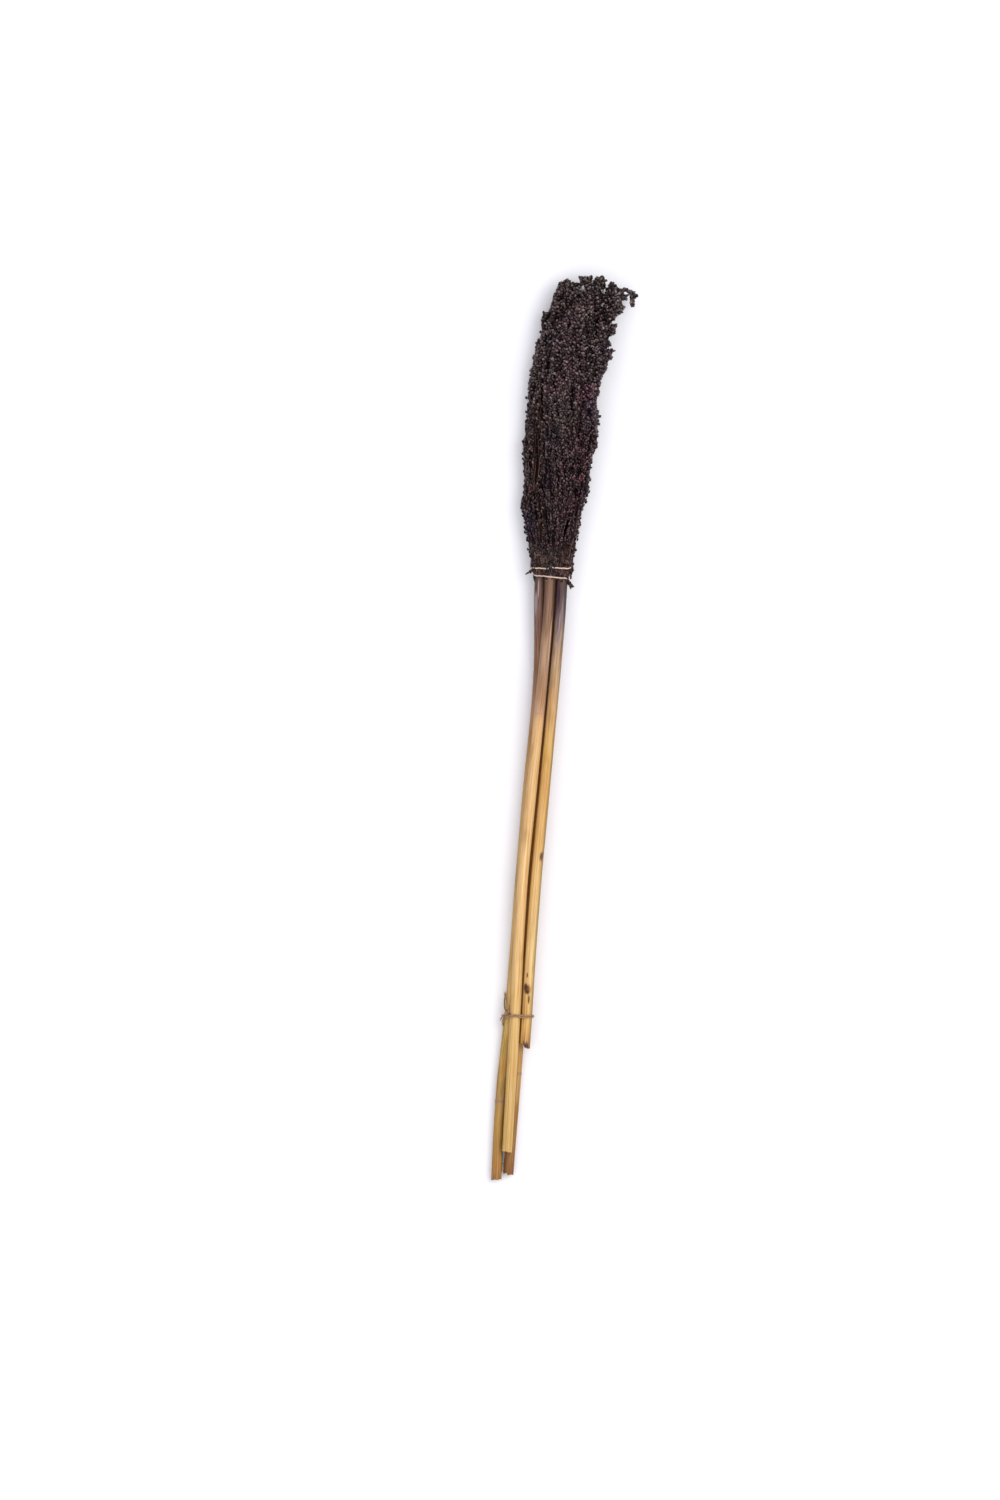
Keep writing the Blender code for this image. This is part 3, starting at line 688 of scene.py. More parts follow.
OUTLINE_TOP = [
    (-23.6, 111.4), (-20.6, 111.6), (-20.4, 113.5), (-19, 115.3), (-19, 121), (-17.8, 127.5),
    (-15.2, 134), (-14.4, 136.5), (-12.8, 137.4), (-11, 137), (-9.6, 139.2), (-7.4, 140.3), (-6, 139.6),
    (-5.4, 137.4), (-2.6, 136.8), (2.4, 137), (2.6, 138.8), (0.6, 140.4), (1, 142.2), (8, 143.2),
    (10.8, 143.9), (11.7, 142.8), (11.8, 140.6), (13.2, 140.4), (13.4, 142.8), (17.6, 143.6),
    (19, 144.6), (20.8, 144.3), (21.4, 142), (23.3, 141), (22.2, 138.6), (23.4, 135), (24.7, 135.4),
    (25, 138.4), (27, 140.3), (29.7, 140), (30.8, 137.8), (32.2, 137), (33.6, 135), (38, 136.4),
    (40.8, 136), (41.6, 135), (44.2, 134.9), (46.8, 132.8), (50, 131), (49.4, 129.8), (46.8, 128.2),
    (47.6, 123.6), (46.6, 121.2), (44.8, 121.4), (43.2, 124), (43.4, 128), (42.2, 130), (40.9, 129),
    (41, 126), (38.4, 125.7), (35.6, 126.2), (35.4, 125), (37, 124.2), (37.8, 122.4), (40.4, 122.3),
    (40.9, 119), (38.6, 119), (38.2, 116.6), (36.4, 114.7), (33.4, 113), (33.2, 109.5), (31.5, 107.8),
    (28.4, 109), (27, 107.6),
]
OUTLINE_RIGHT = [
    (28.2, 106.4), (32, 106.6), (34.2, 106.8), (35.2, 105.4), (33.8, 103.6), (34, 101), (32.8, 97.6),
    (31, 96.2), (26.4, 95), (28.8, 93.5), (31.8, 91), (31.5, 89), (27.2, 86.8), (30.8, 86.9),
    (33.2, 87.3), (34.8, 85.2), (31.8, 82.4), (32.9, 80.4), (32.6, 78.4), (30.2, 77), (29.6, 75),
    (30.3, 72), (29.6, 69.5), (27.5, 65), (27.5, 63.4), (25.2, 60), (25.2, 56), (24.4, 54), (26, 50.8),
    (25, 46.5), (23.8, 43), (24.6, 38.5), (26.6, 36.6), (25.7, 35.2), (27.2, 33), (25.3, 30.5),
    (26.9, 28.2), (25.5, 23), (27, 20.3), (26.3, 18.5), (27.5, 16.3), (25.8, 13), (27.6, 11.3),
    (25.4, 5), (23.8, 3), (24.4, -4), (22.2, -6), (24, -8.6), (22.4, -13), (24.4, -17.8), (22.2, -22),
    (24.3, -25), (21.5, -33), (22.6, -34.8), (20.8, -38), (19, -46), (18.6, -52), (18.9, -56),
    (17.6, -65), (15.8, -72), (17.4, -75), (15.1, -82), (16, -87), (17.3, -91), (15.8, -94),
]
OUTLINE = np.array(OUTLINE_LEFT + OUTLINE_TOP + OUTLINE_RIGHT) * MM
# The holes: x, y and radius.
CLEAR = np.array([
    (28, 107.6, 1.2), (-19.4, 109.4, 0.8), (5, 134, 0.9), (5, 132.5, 0.9), (20.5, 132.4, 1.0),
    (22, 132.6, 0.9), (21.4, 121.8, 1.0), (39, 132.5, 1.0), (12.5, 141.2, 0.6), (24.1, 137, 0.6),
    (28.2, 87, 0.4), (30, 87.6, 0.7), (30.2, 108.2, 1.1), (28.2, 95.3, 0.7), (30, 95.6, 1.1),
]) * MM

print("outline:", len(OUTLINE), "points, and", len(CLEAR), "holes")

# %% [markdown]
# Two things are asked of the outline: whether a point is inside, and what step brings it in. The
# walls of the two outer heads are then moved to it, most at their very side and less round it.

# %% The heads' sides moved to the outline
# The least reach that a head keeps at its sides.
LEAST_REACH = 2 * MM


def inside_outline(points):
    """Even-odd rule: a point is inside if a line from it towards +x crosses the outline an odd
    number of times."""
    (x0, y0), (x1, y1) = OUTLINE.T, np.roll(OUTLINE, -1, axis=0).T
    x, y = points[:, :1], points[:, 1:2]
    spans = (y0 > y) != (y1 > y)
    crossing = x0 + (y - y0) * (x1 - x0) / np.where(y1 == y0, 1e-9, y1 - y0)
    return (spans & (x < crossing)).sum(axis=1) % 2 == 1


def way_in(points, margin):
    """The step in x and y that brings a point in by a margin: along the line to the nearest place
    of the outline, whose distance counts as negative inside. Below the neck there is no step."""
    start, side = OUTLINE, np.roll(OUTLINE, -1, axis=0) - OUTLINE
    away = points[:, None, :2] - start
    along = np.clip((away * side).sum(axis=2) / (side**2).sum(axis=1), 0, 1)
    back = along[..., None] * side - away
    nearest = np.linalg.norm(back, axis=2).argmin(axis=1)
    back = back[np.arange(len(back)), nearest] * np.where(inside_outline(points), -1, 1)[:, None]
    gap = np.linalg.norm(back, axis=1) * np.where(inside_outline(points), -1, 1)
    wanted = np.maximum(gap + margin, 0) * (points[:, 1] > OUTLINE[0, 1] + margin)
    return np.column_stack([unit(back) * wanted[:, None], np.zeros(len(points))])


def meet_outline(name, edge, side):
    """The head's reach changed where it makes the bundle's side, so that the wall meets the edge:
    the gap is shared out by the squared cosine of the angle from that side."""
    middle, reach = heads[name]
    x, y = np.array(sorted(edge, key=lambda point: point[1])).T * MM
    wanted = np.convolve(np.interp(STATIONS, y, x), np.ones(3) / 3, "same")[: len(middle)]
    wanted[[0, -1]] = np.interp(STATIONS[[0, len(middle) - 1]], y, x)
    towards = np.clip(side * OUTWARD[:, 0], 0, 1)
    now = (side * (middle[:, :1] + reach * OUTWARD[:, 0])).max(axis=1)
    gap = (side * wanted - now) * (STATIONS[: len(middle)] < y[-1])
    return middle, np.maximum(reach + gap[:, None] * towards**2, LEAST_REACH)


heads["left"] = meet_outline("left", OUTLINE_LEFT, -1)
heads["right"] = meet_outline("right", OUTLINE_RIGHT, 1)
print("left head now reaches", round(heads["left"][1].max() / MM, 1), "mm")

# %% [markdown]
# The real heads are loose, and where they press together their branches mix, so that the seam
# between two round heads is almost filled. The plain solids keep it open. Here each head's reach
# is let out into the seam: towards the band that would go round all the heads at that station
# (their convex hull), by a few millimetres at most, and half the way to the next head.

# %% Fill the seams between the heads
FILL = 5.5 * MM
BAND_DEPTH = 1.2 * MM
BAND_WAYS = 72
LEAST_COSINE = 0.05


def filled_reach(name):
    """The reach let out into the seams. The band's distance along a ray is the least, over all
    directions that the ray goes towards, of the band's room that way over the cosine."""
    middle, reach = heads[name]
    a = circle(BAND_WAYS)
    ways = np.stack([np.cos(a), np.sin(a)], axis=-1)
    cosine = OUTWARD @ ways.T
    others = [tree for other, tree in trees.items() if other != name]
    out = reach.copy()
    for i, y in enumerate(STATIONS[: len(middle)]):
        present = [(m[i], r[i]) for m, r in heads.values() if i < len(m)]
        points = np.concatenate([m + r[:, None] * OUTWARD for m, r in present])
        room = (points @ ways.T).max(axis=0) - middle[i] @ ways.T
        band = np.where(cosine > LEAST_COSINE, room / np.maximum(cosine, LEAST_COSINE), math.inf).min(axis=1)
        x, z = middle[i]
        free = np.array([clear_way(others, x, y, z, angle) for angle in ROUND])
        wanted = np.minimum(band - BAND_DEPTH, reach[i] + FILL)
        wanted = np.minimum(wanted, (reach[i] + np.minimum(free, 1)) / 2)
        out[i] = np.maximum(reach[i], wanted)
    return soften(out)


filled = {name: filled_reach(name) for name in NAMES}
for name in NAMES:
    more = (filled[name] - heads[name][1]) / MM
    print(f"head {name}: let out by {more.mean():.1f} mm, at most {more.max():.1f}")
heads = {name: (heads[name][0], filled[name]) for name in NAMES}


# Nothing goes nearer to a head's middle than its stalk.
STALK = 0.3 * MM


def surface_at(name, y, angle, depth, share=1.0):
    """Points on a head at a depth under its surface, as a share of the way from its middle."""
    middle, reach = heads[name]
    x, z = np.moveaxis(smooth(STATIONS[: len(middle)], middle, y), -1, 0)
    row = np.clip((np.asarray(y) - STATIONS[0]) / HEAD_STEP, 0, len(middle) - 1.001)
    column = (angle / (2 * math.pi)) % 1 * ANGLES
    r0, c0 = np.floor(row).astype(int), np.floor(column).astype(int) % ANGLES
    r1, c1 = r0 + 1, (c0 + 1) % ANGLES
    down, across = row - r0, column - np.floor(column)
    wall = (reach[r0, c0] * (1 - across) + reach[r0, c1] * across) * (1 - down)
    wall = wall + (reach[r1, c0] * (1 - across) + reach[r1, c1] * across) * down
    out = np.maximum(wall - depth, STALK) * share
    return np.stack([x + out * np.cos(angle), y + 0 * out, z + out * np.sin(angle)], axis=-1)

# %% [markdown]
# The core closes what is left between the branches. It is the head's own surface at about
# two thirds of its reach, and it stops short of the crown, where light comes through.

# %% The core of a head
CORE_SIDES, CORE_RINGS = 32, 64
# The core's share of a head's reach, at the neck and above it.
CORE_AT_NECK, CORE_SHARE = 0.97, 0.7
# How far below the crown the core ends, the length over which it closes, and its relief.
CORE_END = 22 * MM
CORE_CLOSES = 16 * MM
CORE_RELIEF = 0.08
# Between these heights a cane goes over into its head.
NECK_FROM, NECK_TO = -99 * MM, -91 * MM


def neck_surface(name, y, a, depth, share=1.0):
    """Points on the head, or below its foot on the cane: between the two, over 8 mm, the place is
    on_cane + (on_head - on_cane) * S-curve."""
    x, z, radius = np.moveaxis(smooth(*canes[name], y), -1, 0)
    on_cane = np.stack([x + radius * np.cos(a), y + 0 * a, z + radius * np.sin(a)], axis=-1)
    on_head = surface_at(name, y, a, depth, share)
    return on_cane + (on_head - on_cane) * ramp(y, NECK_FROM, NECK_TO)[..., None]


def core_shape(name):
    """Rings at a share of a head's reach, whole at the neck, closing to a point below the crown."""
    end = STATIONS[len(heads[name][0]) - 1] - CORE_END
    a = circle(CORE_SIDES)[None]
    y = np.linspace(NECK_FROM, end, CORE_RINGS)[:, None] + 0 * a
    share = CORE_AT_NECK + (CORE_SHARE - CORE_AT_NECK) * ramp(y, -92 * MM, -66 * MM)
    share = share * np.sqrt(np.clip((end - y) / CORE_CLOSES, 0, 1) + 0.002)
    rough = 1 + CORE_RELIEF * np.sin(5 * a + y / MM / 6) * np.sin(3 * a - y / MM / 9)
    return closed_grid(neck_surface(name, y, a + 0 * y, 0, share * rough), {})


print("one core:", len(core_shape("top")[0]), "points")

# %% [markdown]
# ## Tubes and seeds, many at a time
#
# Two shapes repeat thousands of times: a thin branch and a seed. A branch is a ring of points
# carried along a line and tapered; a seed is a small pointed bead. Both are worked out for all
# copies in one array, and each copy has only a few dozen faces.

# %% Branches as tubes
def tubes(lines, radii, sides, beside):
    """Closed tapered tubes along lines (n, steps, 3), with radii (n, steps). Each ring stands
    square to its line; beside is a direction that no line follows."""
    count, steps, _ = lines.shape
    ahead = unit(np.gradient(lines, axis=1))
    out = unit(np.cross(ahead, np.broadcast_to(beside, lines.shape)))
    across = np.cross(ahead, out)
    a = circle(sides)[:, None]
    rings = out[:, :, None] * np.cos(a) + across[:, :, None] * np.sin(a)
    points = lines[:, :, None] + radii[:, :, None, None] * rings
    tube, ring, side = np.meshgrid(np.arange(count), np.arange(steps - 1), np.arange(sides), indexing="ij")
    low = (tube * steps + ring) * sides
    after = (side + 1) % sides
    quads = np.stack([low + side, low + after, low + sides + after, low + sides + side], axis=-1)
    start = np.arange(count)[:, None] * steps * sides
    k = np.arange(sides)
    caps = [start + k[::-1], start + (steps - 1) * sides + k]
    along = np.broadcast_to(np.linspace(0, 1, steps)[:, None], (count, steps, sides))
    tone = np.broadcast_to(rng.uniform(0, 1, (count, 1, 1)), (count, steps, sides))
    attributes = {"along": along.ravel(), "tone": tone.ravel()}
    return points.reshape(-1, 3), [quads.reshape(-1, 4), *caps], attributes


def faces_outward(shape):
    """True if the closed shape's faces point out: the volume they enclose counts as positive."""
    points, groups, _ = shape
    total = 0
    for group in groups:
        a, b, c = points[group[:, 0]], points[group[:, 1]], points[group[:, 2]]
        total += np.einsum("ij,ij->i", a, np.cross(b, c)).sum()
        if group.shape[1] == 4:
            d = points[group[:, 3]]
            total += np.einsum("ij,ij->i", a, np.cross(c, d)).sum()
    return total > 0


print("a core's faces point out:", faces_outward(core_shape("top")))

# %% [markdown]
# A sorghum seed sits in two stiff scales, the glumes, that close over it like a beak. Young or
# lower on the head it is slim; ripe, the grain swells until the bead is nearly round. So one
# pointed bead is enough, with its width, thickness and length set for each copy.

# %% The seed's own shape
SEED_SIDES = 6
# How far a seed is kept above the table.
ABOVE_TABLE = 0.05 * MM
# Rings of the bead: place along it, and radius as a share of the half width.
SEED_RINGS = [(0.14, 0.72), (0.42, 1.0), (0.74, 0.66)]
KEEL = 0.1


def seed_form():
    """Points and triangles of a bead from (0, 0, 0) to (0, 0, 1), half a unit in radius. Every
    second side stands out a little as the keel of a glume."""
    a = circle(SEED_SIDES)
    rings = [
        np.stack([0.5 * r * (1 + KEEL * np.cos(2 * a)) * np.cos(a), 0.5 * r * np.sin(a), t + 0 * a], axis=-1)
        for t, r in SEED_RINGS
    ]
    points, groups, _ = closed_grid(np.array(rings), {})
    points[-2], points[-1] = (0, 0, 0), (0, 0, 1)
    quads, fans = groups
    return points, [quads[:, ::-1], fans[:, ::-1]]


def seeds(base, ahead, side, size):
    """Copies of the bead at base points, along ahead, with size (width, thickness, length)."""
    points, groups = seed_form()
    thick = np.cross(ahead, side)
    placed = (
        base[:, None]
        + points[:, 0, None] * (side * size[:, :1])[:, None]
        + points[:, 1, None] * (thick * size[:, 1:2])[:, None]
        + points[:, 2, None] * (ahead * size[:, 2:])[:, None]
    )
    start = np.arange(len(base))[:, None, None] * len(points)
    faces = [(group + start).reshape(-1, group.shape[1]) for group in groups]
    along = np.broadcast_to(points[:, 2], placed.shape[:2])
    tone = np.broadcast_to(rng.uniform(0, 1, (len(base), 1)), placed.shape[:2])
    lift = np.maximum(ABOVE_TABLE - placed[..., 2].min(axis=1), 0)
    placed[..., 2] += lift[:, None]
    return placed.reshape(-1, 3), faces, {"along": along.ravel(), "tone": tone.ravel()}


test = seeds(np.zeros((1, 3)), np.array([[0, 0, 1.0]]), np.array([[1.0, 0, 0]]), np.ones((1, 3)))
print("seed:", len(test[0]), "points, faces out:", faces_outward(test))

# %% [markdown]
# ## Branches and racemes
#
# A head is a panicle. Its side branches leave the stalk at a small angle, rise and end at the
# surface, each carrying a raceme: a short spike set with seeds all round. Placing seeds one by
# one on the outline would look like gravel. So the branches are laid out first, by the golden
# angle and with equal areas between their tips, as a real plant packs them, and the seeds follow.

# %% Inside the outline, and in the open
# Branches keep this far inside the outline.
BRANCH_MARGIN = 0.8 * MM
# A raceme is seen if nothing is in its way for this far.
IN_SIGHT = 60 * MM


def pushed_in(lines):
    """The lines moved sideways, each as a whole, by the furthest that any of its points has to
    move to come inside the outline."""
    steps = way_in(lines.reshape(-1, 3), BRANCH_MARGIN).reshape(lines.shape)
    furthest = np.linalg.norm(steps, axis=2).argmax(axis=1)
    most = steps[np.arange(len(lines)), furthest][:, None]
    return lines + most * ramp(np.linspace(0, 1, lines.shape[1]), 0, 0.6)[:, None]


def in_the_open(name, lines, outward):
    """True for each branch whose raceme can be seen: one of six ways out from it is clear of the
    other heads."""
    others = [tree for other, tree in trees.items() if other != name]
    start = lines[:, -3] + outward * 3 * MM
    aside = np.cross(outward, (0, 1, 0))
    ways = [outward + share * aside for share in (0, 1, -1, 1.5, -1.5)]
    ways.append(outward + (0, 1, 0))
    clear = np.zeros(len(lines), bool)
    for way in ways:
        blocked = [
            any(tree.ray_cast(Vector(p), Vector(d), IN_SIGHT)[0] is not None for tree in others)
            for p, d in zip(start, unit(way))
        ]
        clear |= ~np.array(blocked)
    return clear


print("branches stay", round(BRANCH_MARGIN / MM, 1), "mm inside the outline")

# %% [markdown]
# A branch is a line on the head's own grid: its height, its angle round the head and its depth
# under the surface all follow the share of the way along it. Only branches whose raceme can be
# seen are kept, as the rest would be thousands of seeds inside the club.

# %% Lay out the branches of a head
GOLDEN_ANGLE = math.pi * (3 - math.sqrt(5))
RACEME_AREA = 33 * MM**2
BRANCH_STEPS = 8
BRANCH_RISE = 46 * MM
# From this share of its length on, a branch turns up to its tip and veers aside.
LAST_PART = 0.55
# How deep under the surface a branch runs and ends, and how much deeper in the ripe crown, where
# the seeds stand out wide.
RACEME_DEPTH = 2.8 * MM
TIP_DEPTH = 0.6 * MM
RIPE_DEPTH = 1.9 * MM
# The share of branches that stray out of the surface, and how far.
STRAY_SHARE = 0.14
STRAY_REACH = 2 * MM
NECK_Y = -94.6 * MM
# How far a branch winds round the head on its way, and veers at its end, in radians.
SWIRL = 0.5
VEER = 0.34


def ripeness(y):
    """0 near the neck, where seeds are slim and pressed upwards, and 1 in the round-seeded crown."""
    return ramp(y, -75 * MM, 112 * MM)


def branch_lines(name):
    """Lines from inside a head out to its surface. Along a branch y rises evenly, and the share of
    the way out follows a quarter sine, so its last part runs just under the surface."""
    _, reach = heads[name]
    stations = STATIONS[: len(reach)]
    mean = reach.mean(axis=1)
    slant = np.hypot(np.diff(stations), np.diff(mean))
    area = np.r_[0, np.cumsum((mean[1:] + mean[:-1]) * math.pi * slant)]
    count = round(area[-1] / RACEME_AREA)
    k = np.arange(count)
    tip = np.interp((k + rng.uniform(0.1, 0.9, count)) / count * area[-1], area, stations)
    angle = k * GOLDEN_ANGLE + rng.uniform(-0.12, 0.12, count)
    s = np.linspace(0, 1, BRANCH_STEPS)
    late = ramp(s, LAST_PART, 1)
    rise = np.minimum(BRANCH_RISE * rng.uniform(0.8, 1.2, count), tip - NECK_Y)[:, None]
    y = tip[:, None] - rise * (1 - s)
    ripe = ripeness(tip)[:, None]
    veer = VEER * (0.3 + 0.7 * ripe) * rng.uniform(-1, 1, (count, 1)) * late
    turned = angle[:, None] - SWIRL * rng.uniform(-0.4, 1, (count, 1)) * (1 - s) * rise / BRANCH_RISE + veer
    depth = RACEME_DEPTH + (TIP_DEPTH - RACEME_DEPTH) * late
    depth = depth + RIPE_DEPTH * ripe + rng.uniform(-1.2, 1, (count, 1)) * (1 + 0.6 * ripe) * MM
    stray = (rng.random((count, 1)) < STRAY_SHARE) * ramp(tip, -80 * MM, -50 * MM)[:, None]
    out = np.sin(np.clip(0.35 + 1.3 * s, 0, 1) * math.pi / 2)
    lines = pushed_in(surface_at(name, y, turned, depth - STRAY_REACH * stray, out))
    return lines, outwards(angle)


packed_branches = {}
for name in NAMES:
    lines, outward = branch_lines(name)
    seen = in_the_open(name, lines, outward)
    packed_branches[name] = lines[seen], outward[seen]
    print(f"head {name}: {seen.sum()} of {len(seen)} branches can be seen")

# %% [markdown]
# Seeds stand round the end of each branch, a golden angle from one to the next. Low on the head
# they lie close to the branch; in the crown they spread wide, each on a thin stalklet, which is
# what makes the ripe top loose and lumpy. A seed that would point into the head is left out, as
# nothing could show it.

# %% Set the seeds on the branches
SEEDS_PER_RACEME = 19
# In mm: the width of a slim and of a round seed, and the length of a slim and of a round one.
SLIM, ROUNDED, SLIM_LENGTH, ROUNDED_LENGTH = 1.7, 2.5, 3.2, 2.95
THICKNESS = 0.82
# How far a seed leans out from its branch, in degrees, at the neck and in the crown.
LEAN = (30, 56)
STALKLET = 1.8 * MM


def place_on(lines, t):
    """Points and directions at the shares t (n, m) of the way along lines (n, steps, 3)."""
    steps = lines.shape[1]
    at = np.clip(t * (steps - 1), 0, steps - 1.001)
    low = np.floor(at).astype(int)
    part = (at - low)[..., None]
    rows = np.arange(len(lines))[:, None]
    first, second = lines[rows, low], lines[rows, low + 1]
    return first * (1 - part) + second * part, unit(second - first)


def seed_sizes(ripe, widest, longest):
    """Width, thickness and length in mm. Both go from slim to round with ripeness, times a chance
    share that is at most widest or longest."""
    width = (SLIM + (ROUNDED - SLIM) * ripe) * rng.uniform(0.75, widest, ripe.shape)
    length = (SLIM_LENGTH + (ROUNDED_LENGTH - SLIM_LENGTH) * ripe) * rng.uniform(0.8, longest, ripe.shape)
    return np.stack([width, width * THICKNESS, length], axis=-1)


def set_seeds(lines, outward, ripe, raceme, count=SEEDS_PER_RACEME, inner=-0.2):
    """Seeds along the last part of each line: base, direction, side, size and the foot of the
    stalklet. Each leans out from the line by an angle that grows with ripeness and eases at the
    end; inner is how far inwards one may point, as a cosine."""
    length = np.linalg.norm(np.diff(lines, axis=1), axis=2).sum(axis=1)
    k = np.arange(count) / (count - 1)
    t = 1 - np.minimum(raceme / length, 1)[:, None] * (1 - k) * rng.uniform(0.9, 1.1, (len(lines), 1))
    base, ahead = place_on(lines, np.clip(t, 0, 1))
    out = unit(outward[:, None] - ahead * np.einsum("nj,nmj->nm", outward, ahead)[..., None])
    aside = np.cross(ahead, out)
    turn = rng.uniform(0, 2 * math.pi, (len(lines), 1)) + np.arange(count) * GOLDEN_ANGLE
    away = out * np.cos(turn)[..., None] + aside * np.sin(turn)[..., None]
    ripe = np.broadcast_to(ripe[:, None], turn.shape)
    lean = LEAN[0] + (LEAN[1] - LEAN[0]) * ripe
    lean = np.radians(lean + rng.uniform(-18, 18, turn.shape)) * (1 - (1 - 0.5 * ripe) * k**4)
    towards = ahead * np.cos(lean)[..., None] + away * np.sin(lean)[..., None]
    size = seed_sizes(ripe, 1.2, 1.15)
    small = 0.78 + 0.22 * ramp(base[..., 1], -92 * MM, -40 * MM)
    size = size * small[..., None] * MM
    side = unit(np.cross(towards, away + 0.3 * ahead))
    foot = base
    base = foot + towards * (STALKLET * ripe * rng.uniform(0.05, 1, turn.shape))[..., None]
    kept = (np.cos(turn) > inner) | (k > 0.85)
    return base[kept], towards[kept], side[kept], size[kept], foot[kept]


print("seeds set on the packed branches:", SEEDS_PER_RACEME, "on each, before any is left out")

# %% [markdown]
# ## The loose racemes
#
# Chance makes a good even surface, but not the separate lobes of the crown, the ragged right
# edge, the spray that arches over and droops, or the few tufts that the neck tie has pushed
# aside. These racemes are listed one by one, each as three or more points of its branch in
# millimetres, starting inside its own head.

